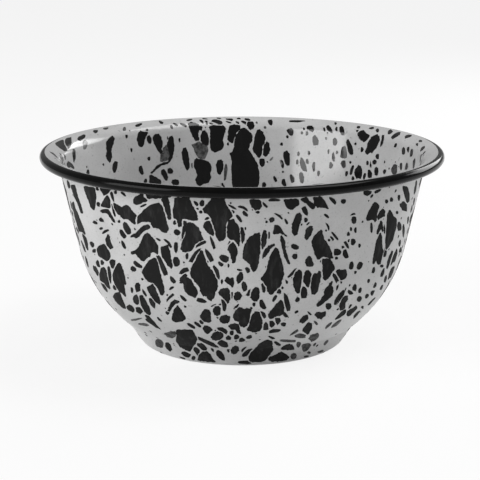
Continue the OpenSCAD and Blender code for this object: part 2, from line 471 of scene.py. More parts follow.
RIGHT_FLANK = (
    Drop(x=326, y=215.5, long=6, wide=2.5, lean=50), Drop(x=327, y=226.5, long=8, wide=2.2, lean=20, bow=1),
    Drop(x=334.5, y=235.5, long=10, wide=2.5, lean=40), Drop(x=331.5, y=238, long=5, wide=2.5, lean=40),
    Drop(x=337, y=251.5, long=7, wide=7), Drop(x=336, y=257.5, long=3, wide=3),
    Drop(x=345, y=253.5, long=9.5, wide=5, lean=20), Drop(x=346, y=244, long=8, wide=3, lean=30),
    Drop(x=342.5, y=247, long=3.5, wide=3), Drop(x=352.5, y=241.5, long=6.5, wide=4.5),
    Drop(x=359, y=245, long=4, wide=2.5), Drop(x=348, y=233.5, long=4, wide=3),
    Drop(x=350.5, y=228.5, long=4, wide=2.2), Drop(x=355, y=229.5, long=5.5, wide=2.5),
    Drop(x=353.5, y=219.5, long=7.5, wide=5), Drop(x=352.5, y=214, long=5, wide=2.5, lean=-65),
    Drop(x=343, y=201, long=5, wide=4.5, lean=90), Drop(x=332.5, y=200, long=9, wide=3.5, lean=45),
    Drop(x=351, y=265, long=7.5, wide=4.5, lean=-10), Drop(x=359, y=265.5, long=8, wide=5, lean=-25),
    Drop(x=355, y=271.5, long=4, wide=2.5, lean=-30), Drop(x=371, y=227, long=10, wide=2.5),
    Drop(x=383.2, y=227, long=11, wide=2.5, lean=12), Drop(x=384, y=252, long=9, wide=4),
    Drop(x=399, y=226, long=8, wide=4.5), Drop(x=403, y=230, long=13, wide=2.5, lean=4),
    Drop(x=399, y=243.5, long=8, wide=2.5, lean=-10), Drop(x=400, y=249.5, long=6, wide=4),
    Drop(x=394, y=257, long=16, wide=3.5, lean=-18), Drop(x=389, y=259.5, long=18, wide=3, lean=-18),
    Drop(x=381.5, y=265.5, long=3, wide=3.5), Drop(x=373, y=270, long=6, wide=3, lean=-15),
    Drop(x=382.5, y=272, long=9, wide=3, lean=-20), Drop(x=391, y=271.5, long=15, wide=4, lean=-18),
    Drop(x=403.5, y=206, long=9, wide=6, lean=15), Drop(x=415, y=187, long=13, wide=2.5, lean=-6),
    Drop(x=413.5, y=201, long=7, wide=2), Drop(x=398.5, y=197, long=6, wide=2.5),
    Drop(x=386, y=201, long=4, wide=3), Drop(x=391, y=199, long=4.5, wide=3),
    Drop(x=367, y=192.5, long=9, wide=5, lean=85), Drop(x=371.5, y=195, long=5, wide=3, lean=-30),
    Drop(x=376.5, y=191, long=8, wide=3, lean=-60), Drop(x=407.5, y=219.5, long=7, wide=2),
    Drop(x=396.5, y=212, long=3, wide=2.5), Drop(x=385, y=278.5, long=7, wide=2.5, lean=-15),
    Drop(x=368, y=280.5, long=4, wide=2.5, lean=-10), Drop(x=374.5, y=285, long=6, wide=2.5, lean=-25),
    Drop(x=381, y=287, long=6, wide=2.5, lean=-25), Drop(x=372, y=292, long=6, wide=3, lean=-25),
    Drop(x=359.5, y=290, long=5.5, wide=3, lean=-15), Drop(x=354, y=287.5, long=7, wide=4, lean=-10),
    Drop(x=350, y=292, long=6, wide=4, lean=70), Drop(x=366.5, y=295.5, long=5, wide=3, lean=-30),
    Drop(x=359, y=298.5, long=5.5, wide=4.5, lean=-30), Drop(x=371, y=301, long=10, wide=2, lean=-45),
    Drop(x=362, y=307, long=3, wide=2.5), Drop(x=335.5, y=278, long=10, wide=4.5, lean=28),
    Drop(x=337, y=286, long=8, wide=2, lean=-12), Drop(x=340.5, y=281, long=4, wide=2.5),
    Drop(x=340, y=297, long=18, wide=3, lean=-32), Drop(x=349.5, y=306, long=5, wide=2, lean=-35),
    Drop(x=356, y=314, long=9, wide=2.5, lean=-42), Drop(x=340.5, y=314.5, long=13, wide=4, lean=-48),
)
# The grey share of the greyed splashes on the foot is a painted floor reflection at its lower left and lower
# right.
FOOT = (
    Drop(x=152, y=322.5, long=18, wide=4, lean=50, taper=-0.5), Drop(x=159, y=319, long=6, wide=2, lean=45),
    Drop(x=135, y=319, long=10, wide=2, lean=-80, thin=0.5),
    Drop(x=143, y=324, long=10, wide=2.5, lean=80, thin=0.5),
    Drop(x=159, y=343, long=9, wide=7, lean=60, thin=0.2), Drop(x=167.5, y=346, long=10, wide=5, lean=38),
    Drop(x=196.5, y=350.5, long=9, wide=5, lean=30), Drop(x=201.5, y=346, long=10, wide=4.5, lean=60),
    Drop(x=206, y=341.5, long=25, wide=3.5, lean=66), Drop(x=222.5, y=343.5, long=10, wide=6, lean=65),
    Drop(x=222.5, y=330.5, long=11, wide=5, lean=62), Drop(x=228, y=337, long=5, wide=5),
    Drop(x=231, y=332.5, long=5.5, wide=4.5), Drop(x=236, y=323.5, long=9, wide=3, lean=62),
    Drop(x=236, y=336.5, long=5, wide=5), Drop(x=241.5, y=339.5, long=6.5, wide=4, lean=90),
    Drop(x=248.5, y=336.5, long=6, wide=3.5, lean=-75), Drop(x=191, y=325.5, long=9, wide=3, lean=60),
    Drop(x=197, y=324, long=8, wide=3, lean=52), Drop(x=201, y=321.5, long=5, wide=3, lean=45),
    Drop(x=193, y=357.5, long=4, wide=4), Drop(x=185.5, y=354, long=9, wide=5, lean=65),
    Drop(x=182, y=357.5, long=6, wide=1.6, lean=70), Drop(x=220, y=354.5, long=12, wide=5.5, lean=38),
    Drop(x=212.5, y=349.5, long=5, wide=2.5, lean=50), Drop(x=228, y=350, long=3.5, wide=3),
    Drop(x=247, y=352, long=12, wide=4.5, lean=-56), Drop(x=243, y=348.5, long=6, wide=2, lean=-50),
    Drop(x=245, y=362, long=13, wide=3.5, lean=90),
    Drop(x=293, y=355.5, long=6.5, wide=5.5, lean=-45, thin=0.3),
    Drop(x=290, y=340.5, long=19, wide=2.5, lean=88, thin=0.3), Drop(x=277, y=343, long=8, wide=3, lean=55),
    Drop(x=272, y=337.5, long=8, wide=2.5, lean=68), Drop(x=274, y=330.5, long=11, wide=3.5, lean=-80),
    Drop(x=298, y=343, long=6, wide=4.5, thin=0.3), Drop(x=300, y=335.5, long=11, wide=4, lean=85, thin=0.3),
    Drop(x=294, y=332, long=10, wide=2.5, lean=-55, thin=0.3),
    Drop(x=313.5, y=337, long=10, wide=6, lean=-62, thin=0.3),
    Drop(x=305.5, y=346.5, long=9.5, wide=7, lean=-48, thin=0.3),
    Drop(x=308, y=352, long=4, wide=2.5, lean=80, thin=0.3),
    Drop(x=306, y=356, long=5, wide=2, lean=-80, thin=0.3),
    Drop(x=325.5, y=342, long=6, wide=2.5, lean=-40, thin=0.3),
    Drop(x=314, y=344, long=4, wide=2, lean=-40, thin=0.3),
    Drop(x=320, y=351, long=6, wide=2, lean=-70, thin=0.3),
)
# The grey share of the splashes on the inner lip at the upper left is a painted highlight.
INSIDE_LEFT = (
    Drop(x=68, y=141.5, long=10, wide=6, lean=10), Drop(x=81, y=137, long=8, wide=4.5, lean=-60),
    Drop(x=95, y=131, long=4.5, wide=3, lean=90), Drop(x=105.5, y=128, long=5, wide=2, lean=-80, thin=0.4),
    Drop(x=84.5, y=144, long=9, wide=4.5, thin=0.9), Drop(x=73.5, y=154.5, long=12, wide=3),
    Drop(x=69.5, y=165.5, long=8.5, wide=5.5, lean=30), Drop(x=87.5, y=172, long=6, wide=2.8),
    Drop(x=114.5, y=166.5, long=11, wide=4.5, lean=-12), Drop(x=53.5, y=154, long=10, wide=2, lean=42),
    Drop(x=126, y=136, long=3.5, wide=2.5), Drop(x=124, y=128.5, long=4, wide=3, thin=0.6),
    Drop(x=131, y=149.5, long=4, wide=2), Drop(x=148.5, y=139, long=9, wide=4.5, lean=20),
    Drop(x=146.5, y=130, long=3.5, wide=2.5), Drop(x=140.5, y=169.5, long=9, wide=4, lean=14),
    Drop(x=148.5, y=158, long=4, wide=2.8), Drop(x=138, y=124.5, long=7, wide=2.5, lean=-72),
    Drop(x=145, y=180.5, long=5, wide=3, lean=-20), Drop(x=169.5, y=170.5, long=5.5, wide=5.5),
    Drop(x=175, y=182, long=7, wide=6, lean=90), Drop(x=167.5, y=138, long=4, wide=2),
    Drop(x=179, y=139.5, long=4, wide=2),
)
INSIDE_CENTRE = (
    Drop(x=222.5, y=147, long=6, wide=3), Drop(x=225, y=172, long=16, wide=3, lean=-4, thin=0.3),
    Drop(x=261.5, y=162, long=8, wide=5.5), Drop(x=191.5, y=165, long=5, wide=1.6, thin=0.5),
    Drop(x=227.5, y=143.5, long=3, wide=2), Drop(x=218, y=186, long=3, wide=4),
    Drop(x=222.5, y=184.5, long=5, wide=2.5, lean=25), Drop(x=270, y=121.5, long=5.5, wide=4.5, lean=20),
    Drop(x=264.5, y=127, long=2.5, wide=2.5, thin=0.4), Drop(x=290, y=131.5, long=7.5, wide=5.5, lean=30),
    Drop(x=287, y=136.3, long=3, wide=2.6), Drop(x=281, y=143.5, long=3.2, wide=2.8),
    Drop(x=281.5, y=163.3, long=8, wide=3.2, lean=14),
    Drop(x=271, y=158.5, long=5, wide=1.8, lean=-40, thin=0.6),
    Drop(x=274.5, y=178.5, long=6, wide=2.8, lean=28), Drop(x=283.5, y=182.5, long=7.5, wide=4, lean=18),
    Drop(x=291.5, y=178, long=8.5, wide=3.8, lean=14), Drop(x=263.5, y=184.5, long=5, wide=4),
    Drop(x=282.5, y=171.3, long=2, wide=2.2),
)
INSIDE_RIGHT = (
    Drop(x=298, y=153.5, long=4.5, wide=2.5), Drop(x=297, y=161.5, long=5, wide=3),
    Drop(x=302.5, y=164, long=14, wide=5.2, lean=16), Drop(x=306.5, y=161, long=5, wide=3),
    Drop(x=301.3, y=177, long=10.5, wide=4.6, lean=8), Drop(x=308.5, y=152.5, long=4, wide=2.5),
    Drop(x=313.3, y=166, long=9, wide=3), Drop(x=318, y=173, long=5.5, wide=2.6),
    Drop(x=317.5, y=183.5, long=4, wide=3.5), Drop(x=315, y=140.5, long=9.5, wide=5.8, lean=6),
    Drop(x=301.5, y=132.5, long=3, wide=2.5, thin=0.3), Drop(x=306.5, y=133, long=4.5, wide=2.5, thin=0.3),
    Drop(x=303.5, y=128.3, long=2.5, wide=2), Drop(x=334.5, y=141.5, long=7, wide=4.5),
    Drop(x=333, y=157, long=9, wide=2.8), Drop(x=330.5, y=164.5, long=6.5, wide=3.6),
    Drop(x=328, y=151, long=4.5, wide=2), Drop(x=336.5, y=152, long=3.5, wide=2),
    Drop(x=325.5, y=138, long=3, wide=2, thin=0.4), Drop(x=310, y=127.7, long=7.5, wide=5, lean=62),
    Drop(x=324, y=128.5, long=4.5, wide=2.5), Drop(x=328.5, y=128.3, long=9, wide=4.2, lean=38),
    Drop(x=336, y=128.5, long=4.5, wide=2.2), Drop(x=335, y=123, long=2.5, wide=2.2),
    Drop(x=341.5, y=130, long=9, wide=4.6, lean=14), Drop(x=343.3, y=153, long=14, wide=5.6, lean=-4),
    Drop(x=343, y=163, long=8.5, wide=5), Drop(x=349.3, y=147, long=14, wide=5, lean=14),
    Drop(x=358, y=172, long=12, wide=7.4), Drop(x=351.5, y=169.5, long=10, wide=3, lean=-15),
    Drop(x=346, y=173, long=5.5, wide=2.5, lean=-10), Drop(x=352.5, y=177.5, long=4, wide=3.4),
    Drop(x=364, y=175.5, long=6.5, wide=2.5, lean=-15), Drop(x=369.3, y=173, long=9, wide=4.4),
    Drop(x=370, y=164.5, long=7, wide=2), Drop(x=375.8, y=171, long=8, wide=4),
    Drop(x=367, y=162.5, long=4.5, wide=2.6), Drop(x=374, y=161.7, long=5, wide=4, lean=-30),
    Drop(x=377, y=156, long=5.5, wide=3.2), Drop(x=372.3, y=143.5, long=20, wide=9, lean=-26),
    Drop(x=380.7, y=140, long=12, wide=3, lean=-10, bow=1), Drop(x=362, y=136, long=8, wide=7),
    Drop(x=358.3, y=134.5, long=3.5, wide=2.5), Drop(x=367, y=136, long=5, wide=4, lean=80),
    Drop(x=358, y=126.5, long=3.5, wide=2.4, lean=90), Drop(x=377, y=130, long=4, wide=3),
    Drop(x=389.5, y=131.3, long=5, wide=3.6, lean=-50), Drop(x=395.5, y=134.3, long=10, wide=3.4, lean=-60),
    Drop(x=407.5, y=135.7, long=6.5, wide=2.8, lean=-75), Drop(x=420, y=140.5, long=3.4, wide=2.4, lean=90),
    Drop(x=416.5, y=144, long=2.8, wide=2.2), Drop(x=422, y=148, long=6, wide=2.4, lean=-42),
    Drop(x=395, y=145, long=4.2, wide=2.5, lean=-20), Drop(x=361.5, y=149, long=5, wide=2.8),
    Drop(x=403, y=150.7, long=7, wide=3.4), Drop(x=407.5, y=149, long=5.5, wide=2.4),
    Drop(x=411, y=152.5, long=7.5, wide=2.6, lean=-8), Drop(x=413.5, y=163, long=10, wide=2, lean=-8),
    Drop(x=406, y=166, long=7, wide=2.6, lean=-8), Drop(x=400.5, y=166, long=7, wide=2.4),
    Drop(x=394, y=169, long=9.5, wide=5.6, thin=0.15), Drop(x=384, y=171, long=4.8, wide=2.8, lean=-15),
)
LIP_FLECKS = (
    Drop(x=189, y=119.5, long=6, wide=1.6, lean=-80), Drop(x=183, y=124.3, long=7, wide=2.4, lean=65),
    Drop(x=175, y=124, long=5.5, wide=2, lean=60), Drop(x=171, y=126.3, long=4, wide=2.4, lean=30),
    Drop(x=160.5, y=121.8, long=4.5, wide=2.4, lean=65), Drop(x=201, y=120.3, long=5, wide=2.4, lean=60),
    Drop(x=206, y=121.3, long=5, wide=2.8, lean=30), Drop(x=216, y=120.7, long=12, wide=3.8, lean=75),
    Drop(x=228, y=121.3, long=7, wide=2, lean=70), Drop(x=229.5, y=119, long=10, wide=2.4, lean=86),
    Drop(x=243, y=121.2, long=8, wide=3.2, lean=65), Drop(x=247, y=119.1, long=9, wide=2.6, lean=80),
    Drop(x=256, y=122, long=3, wide=2, lean=40, thin=0.4), Drop(x=296, y=120.6, long=14, wide=2, lean=90),
    Drop(x=371, y=127.6, long=5, wide=2, lean=-80), Drop(x=205.5, y=118.6, long=8, wide=1.4, lean=82),
    Drop(x=219, y=118, long=6, wide=1.3, lean=82), Drop(x=238.5, y=118.4, long=7, wide=2.2, lean=86),
    Drop(x=236.5, y=121.6, long=5, wide=1.8, lean=60), Drop(x=211, y=123.2, long=5, wide=1.6, lean=70),
    Drop(x=252, y=119.6, long=4, wide=1.6, lean=50),
)


@dataclass(frozen=True)
class Patch:
    """A large splash seen in the photograph: the corners of its outline in pixels, and its grey share, which
    is glaze laid thinly on the inner wall and a painted floor reflection at the foot.
    """

    corners: tuple[tuple[float, float], ...]
    thin: float = 0.0
    rounding: float = 0.12
    longest: float = 2.0
    swell: float = 0.4
    ragged: float = 0.45

    def outline(self, random: np.random.Generator, stretch: float) -> np.ndarray:
        """Cut off the corners, divide what sides are long, and make the edge ragged.

        Args:
            random: Where the raggedness comes from.
            stretch: How many times wider the splash is on the bowl than in the photograph.

        Returns:
            Rows of x and y, with the centre of the first pixel at 0, 0.
        """
        corners = np.array(self.corners) - 0.5
        after = np.roll(corners, -1, axis=0)
        step = self.rounding * (after - corners)
        cut = np.stack([corners + step, after - step], axis=1).reshape(-1, 2)
        points = []
        for start, end in zip(cut, np.roll(cut, -1, axis=0)):
            parts = max(1, math.ceil(np.hypot(*(end - start)) / self.longest))
            points.extend(start + (end - start) * k / parts for k in range(parts))
        points = np.array(points)
        along = np.roll(points, -1, axis=0) - np.roll(points, 1, axis=0)
        out = np.column_stack([along[:, 1], -along[:, 0]]) / np.linalg.norm(along, axis=1)[:, None]
        turning = np.sign((corners[:, 0] * after[:, 1] - after[:, 0] * corners[:, 1]).sum())
        push = self.swell + random.uniform(-self.ragged, self.ragged, len(points)) / stretch
        return points + turning * push[:, None] * out


LEFT_PATCHES = (
    Patch(((70.5, 185), (75, 185), (77.5, 196), (80.5, 204), (83, 213.5), (81, 213), (78, 204),
        (74.5, 197))),
    Patch(((72, 203), (73.5, 201.5), (75, 208), (77.5, 213), (80.5, 221), (83.5, 228), (85.5, 235),
        (82.5, 232), (79, 231), (77, 224), (74.5, 215))),
    Patch(((83.5, 186), (94.5, 187.5), (96, 196), (95.5, 204), (94, 210.5), (91, 207.5), (88, 199),
        (85.5, 193))),
    Patch(((107.5, 195), (110, 200), (110.5, 206), (109.5, 208.5), (106, 207), (101, 206.5), (101.5, 204),
        (104, 199.5))),
    Patch(((100, 210.5), (105, 209), (108.5, 209.5), (111, 214), (115.5, 222.5), (113.5, 222), (110, 217),
        (107, 213), (103, 213))),
    Patch(((113.2, 203), (117, 204.5), (121.5, 207.5), (126.5, 205), (130, 207.5), (133, 212.5),
        (136.5, 215.5), (135, 219), (135.5, 224.5), (132.5, 223), (130, 220.5), (126.5, 218.5),
        (123.5, 219.5), (120.5, 215.5), (117, 213), (114.5, 208.5))),
    Patch(((138, 216.5), (141.5, 213), (146, 208), (152, 204), (159, 203), (161.5, 205), (163, 210),
        (166, 219), (168.5, 230), (166.5, 232.5), (162, 231.5), (158, 228), (153, 227.5), (150.5, 222),
        (146, 221.5), (141, 222), (137, 224.5))),
    Patch(((134, 203.5), (133.8, 199), (135.5, 196.5), (139.5, 195), (141, 192), (143, 193), (143.5, 196.5),
        (147.5, 201), (143, 202.5), (139, 204.5), (136.5, 205))),
    Patch(((130.7, 237.5), (131.5, 235), (136, 233), (140, 228.5), (144.5, 225.5), (148.5, 224.5),
        (150, 227.5), (147, 229.5), (142, 232.5), (138.5, 237), (135.5, 238.5), (134.5, 236.5))),
    Patch(((105.5, 240), (107.5, 234), (109.5, 236), (110.5, 242), (113.5, 248), (110, 249), (107, 245))),
    Patch(((97, 249), (99.5, 245.5), (104, 244), (106.5, 247.5), (109.5, 252.5), (110.5, 256.5),
        (109, 259.5), (106.5, 261), (102.5, 258), (98.5, 256))),
    Patch(((147.5, 232.5), (150.5, 235.5), (155, 241), (158, 246), (158, 254.5), (154, 252), (150.5, 252.5),
        (150, 256.5), (147, 257.5), (144, 261), (141.5, 260.5), (138.5, 257.5), (136, 253.5), (131.5, 254),
        (131.5, 251.5), (136, 250), (139.5, 245.5), (142.5, 239), (144.5, 234.5))),
    Patch(((161, 246.5), (164, 246.5), (168, 244.5), (169.5, 250), (170.5, 257.5), (172.5, 265),
        (171.5, 269), (168.5, 266), (165.5, 261), (161.5, 255.5))),
    Patch(((100, 272), (101.5, 268), (104, 267.3), (106, 270), (107, 276), (108.5, 282), (110.5, 289),
        (107, 287), (104.5, 283), (100.5, 280.5), (99.5, 276))),
    Patch(((119, 262.3), (121.5, 266), (124, 273), (125, 280), (126, 284.5), (123.8, 284.5), (125, 290),
        (126, 297), (122.5, 293), (119, 291.5), (116.5, 287), (113.5, 281), (112.5, 275), (115, 268))),
    Patch(((113, 296.5), (115, 293), (119.5, 292), (121.5, 297), (124, 303), (126, 309), (123, 308),
        (118.5, 304), (115, 300))),
    Patch(((140, 300), (140, 295.5), (142.5, 295.5), (146, 301), (149, 307), (151, 314), (149.5, 315),
        (145, 312), (141.5, 306))),
    Patch(((147, 287.5), (150, 285.5), (152.5, 284), (155, 288), (158, 295), (160.5, 302), (159.5, 304.5),
        (156, 302.5), (152, 297), (148.5, 292))),
    Patch(((142, 272), (145, 266.5), (149, 261), (153.5, 258), (156.5, 259), (158.5, 266), (161, 276),
        (163.5, 286), (164.5, 291), (162.5, 295.5), (160.5, 294.5), (157.5, 288), (153.5, 282.5),
        (148.5, 282), (144, 277))),
)
CENTRE_PATCHES = (
    Patch(((174.5, 197.5), (189, 197.5), (191, 203), (196, 212), (198, 220), (193, 220.5), (184, 218.5),
        (181.5, 219.5), (182, 226), (178.5, 227.5), (177, 219.5), (173.5, 218), (173, 210), (174.5, 202))),
    Patch(((161, 199), (164, 198), (168.5, 198.5), (169.5, 205), (171, 214), (170.5, 219.5), (168.5, 219.5),
        (166, 212), (163, 203))),
    Patch(((144.5, 192.5), (172, 195), (170, 197.5), (160, 198), (148, 198.5))),
    Patch(((211.5, 198), (224, 198.5), (226.5, 205), (230, 210.5), (233, 216), (229.5, 218.5), (226.5, 222),
        (225.5, 228), (226, 236), (223.5, 240), (219.5, 241.5), (217, 238), (214.5, 229), (211.5, 219.5),
        (209, 214.5), (204, 212.5), (203, 209), (207, 204.5), (211, 200.5))),
    Patch(((204, 223.5), (206, 221.5), (209.5, 221), (211.5, 225.5), (214.5, 233.5), (213, 236),
        (209, 233.5), (206, 230.5), (203.5, 227))),
    Patch(((228.5, 220.5), (233.5, 219), (236, 223), (239.5, 229), (239.8, 240), (239, 246.5),
        (236.5, 242.5), (233.5, 239.5), (230, 239.5), (227.5, 236), (227, 228))),
    Patch(((240.6, 227), (242.5, 227.5), (244.5, 232), (244.5, 238.5), (242, 244), (241.2, 238))),
    Patch(((187, 223.5), (190, 222.5), (193, 223.5), (198, 227), (200.5, 232), (202.5, 237), (203.5, 240),
        (200, 241), (195, 244.5), (191.5, 250.5), (186.5, 252), (183, 252), (180.5, 248.5), (182.5, 242),
        (185.5, 235), (186.5, 229))),
    Patch(((184, 220.5), (186.3, 222), (185.8, 230), (183.5, 236), (181.5, 240), (182.5, 231),
        (183.5, 226))),
    Patch(((230.5, 244), (233, 242), (235, 245), (237.8, 250.5), (237, 254), (235.5, 257), (235, 262),
        (232.5, 263), (231.5, 259), (230, 253), (227.5, 249.5))),
    Patch(((247.5, 240), (250, 237), (255, 233.8), (259.5, 232.5), (260.2, 236), (260.2, 250), (258.5, 262),
        (257, 269), (254, 272), (251.5, 269.5), (250, 264), (245.5, 260.5), (242.8, 258), (243.5, 250),
        (245, 245))),
    Patch(((263.5, 230.2), (266, 230.5), (266.8, 237), (265.5, 244), (262.5, 249.5), (261.3, 246),
        (261.8, 238))),
    Patch(((249, 199.5), (260, 199.5), (262, 206), (259.5, 209.5), (255, 210), (251.5, 206.5))),
    Patch(((262.5, 259), (262.8, 254), (265, 249.5), (269, 245.5), (275, 244), (274, 246), (270.5, 248.5),
        (268, 253), (264.5, 257))),
    Patch(((274, 228), (274.5, 225.5), (278, 224.8), (280.5, 228), (284, 233), (287.5, 237), (284, 235),
        (281, 233), (273.2, 234.2))),
    Patch(((299.5, 212.8), (301.5, 215), (301, 220), (298.5, 229), (297, 234.5), (294.5, 235.5),
        (292.3, 232), (292, 225), (294.5, 218.5), (297, 214))),
    Patch(((280, 236.5), (282, 235.5), (284.5, 240), (285.5, 250), (287.5, 256), (289.8, 264.5),
        (287.5, 263.5), (284.5, 257), (282.5, 249), (281, 242))),
    Patch(((283.5, 199.5), (298.5, 199), (299.5, 203.5), (296, 207), (292.5, 210), (287, 207.5),
        (285, 203))),
    Patch(((300.5, 199.5), (304, 197.5), (307.5, 197.5), (309.5, 201.5), (313.5, 204), (315, 207),
        (313, 209.5), (310.5, 208), (308, 204.5), (304, 202))),
    Patch(((313.5, 197.5), (320, 196.5), (323, 198.5), (326, 204), (329, 209.2), (325, 207.5), (320.5, 207),
        (317.5, 207.8), (315, 205), (313.8, 201))),
    Patch(((304.8, 235), (306, 230), (308.5, 226.8), (312.5, 226), (312.8, 229.5), (310.5, 235), (307, 240),
        (305, 238))),
    Patch(((309, 255.5), (311.5, 258), (313.5, 264.5), (312, 266.5), (306.5, 266), (305, 262), (307, 258))),
    Patch(((275, 247.8), (278, 249.5), (280.5, 258), (283, 267), (284, 275), (282, 279.5), (281, 285.5),
        (277, 288.5), (274.5, 292), (271, 295), (268, 292), (266.5, 286), (263.5, 282), (260.5, 279.5),
        (263, 275.5), (266.5, 271), (268.5, 262), (271.5, 253))),
    Patch(((180, 280), (181, 277), (185, 273.5), (187, 275), (185.5, 279.5), (182, 283.5), (180, 283.5))),
    Patch(((184, 280.5), (187.5, 277.5), (191, 280), (193.5, 285), (196.5, 289.5), (197.5, 294),
        (195, 297.8), (190.5, 296), (186.5, 293), (184, 289), (183.3, 284))),
    Patch(((190, 273), (192, 266), (195.5, 261), (198, 254.5), (200.5, 250.5), (202.5, 251.5),
        (204.5, 257.5), (206.5, 263.5), (210, 268), (214, 274), (217, 280.5), (217.5, 287), (215, 293),
        (213.5, 298), (211, 301), (208, 299.5), (206.5, 296), (203, 296), (200.5, 291.5), (199.5, 286.5),
        (196, 283), (192.5, 278.5))),
    Patch(((225, 281), (226, 277.5), (228, 277), (229.5, 279), (233, 277.5), (234.3, 283), (232.5, 287.5),
        (229.5, 284.5))),
    Patch(((237.5, 276), (240, 272.5), (242.5, 272.5), (243.5, 278), (240, 282.5), (238, 284),
        (236.8, 280))),
)
LOWER_PATCHES = (
    Patch(((177.5, 305), (181, 309.5), (184, 315), (186, 319), (182, 321), (176.5, 322.5), (172.5, 320.5),
        (172.3, 316), (174, 310.5))),
    Patch(((167.8, 311), (169, 307), (171.5, 302), (175, 299.5), (179.5, 301.5), (178, 303), (175, 303.5),
        (172, 308), (170, 311.5))),
    Patch(((176, 330), (186, 329.5), (192, 330), (194.5, 334), (197, 339), (195.8, 343), (192, 348),
        (190, 351.5), (185, 349.5), (180, 346.5), (176, 341.5), (177, 336))),
    Patch(((218.5, 292), (221, 289), (227, 287.7), (229.5, 291), (229.8, 299), (228, 304), (225.5, 300.5),
        (223, 297.5), (220, 295.5))),
    Patch(((234, 299), (234.5, 294), (237.5, 291.5), (240, 292.5), (242, 296.5), (239.5, 299.5),
        (236, 301))),
    Patch(((252.5, 290.5), (255, 287), (258.5, 288), (259.5, 293.5), (258.5, 298.5), (256.5, 301.5),
        (254, 301), (250.5, 298), (251, 294))),
    Patch(((268.5, 314), (276, 304.5), (280.5, 300.3), (283, 301.5), (284, 307), (284, 312), (287, 314.5),
        (289, 317.5), (285.5, 317), (282.5, 314.5), (279, 316), (275, 316.5), (271.5, 319), (268.5, 317.5))),
    Patch(((234.5, 312), (237.5, 309), (239, 306.8), (241.5, 307.5), (243.5, 309.5), (246.5, 308.5),
        (250, 308.5), (251.5, 309.5), (250, 315), (249.5, 320), (247.5, 325), (244, 327.5), (240.5, 326),
        (238.5, 321.5), (235, 320.5), (232.8, 317))),
    Patch(((233.3, 309), (235.5, 306), (239, 304), (238.6, 305.8), (236, 308))),
    Patch(((252, 315.5), (255.5, 311.5), (259, 311.8), (260.8, 317), (262.5, 321), (261.5, 327), (260, 331),
        (255, 332.3), (247, 330.3), (249, 325.5), (250.7, 321))),
    Patch(((200, 317.5), (202, 312), (205, 309.5), (209.5, 310.5), (210.8, 316), (211, 321.5),
        (207.5, 322.5), (203.5, 321))),
    Patch(((213, 311), (214.5, 307), (218, 306), (220.5, 309), (220, 314), (217, 316.3), (214.5, 314.5))),
    Patch(((219.5, 320), (221, 316), (226, 315), (229.8, 316.5), (229.5, 321), (227, 323.3), (222, 323))),
    Patch(((203.2, 328), (204.5, 325.5), (208, 325.8), (212.8, 329.8), (210, 332), (207.5, 334),
        (204.5, 331))),
    Patch(((211, 337), (213, 333.5), (217, 331.5), (222.5, 333), (223.5, 336.5), (220, 339.3), (215, 340.3),
        (212, 339))),
    Patch(((228.5, 326), (231, 324.5), (235, 323.5), (238.5, 325), (239.5, 329), (241.5, 333.5), (238, 333),
        (235, 329.5), (231, 329))),
    Patch(((230.8, 350), (233, 346.8), (236.5, 346), (239, 347.5), (238.5, 351), (235.5, 354),
        (232, 353.5))),
    Patch(((248.5, 357.5), (252, 351.5), (257.5, 346), (262.5, 341.5), (268, 340), (272, 341.5),
        (272.5, 346), (273.5, 349.5), (270.5, 353.5), (267.5, 357), (264.5, 361), (258, 362), (252, 362),
        (249, 360))),
    Patch(((268.5, 360), (269.5, 356.5), (274, 356), (278, 353.5), (282, 352), (286, 354), (289.3, 357.5),
        (286, 360), (280, 361), (272, 361.5))),
    Patch(((197.5, 359.5), (199.5, 355), (203, 351.8), (207, 351.5), (210.5, 355), (213, 359.5),
        (215.5, 362.3), (208, 361.5), (201, 360.8))),
    Patch(((314.5, 314.5), (317, 312), (321, 312.5), (326, 311.3), (325.5, 315.5), (321, 319),
        (317.5, 318))),
    Patch(((299.5, 322), (301, 318.5), (304, 315.8), (307.5, 314.8), (308.3, 317.5), (306, 321),
        (302.5, 323.3))),
    Patch(((302.3, 331), (304.5, 326.5), (308.5, 322.5), (312, 323.5), (312, 327.5), (309.5, 331.5),
        (308, 334.5), (305, 332.5))),
    Patch(((280.5, 349), (284, 345.5), (289, 344), (292.5, 344.8), (294.5, 349), (290, 350), (284, 349.5))),
)
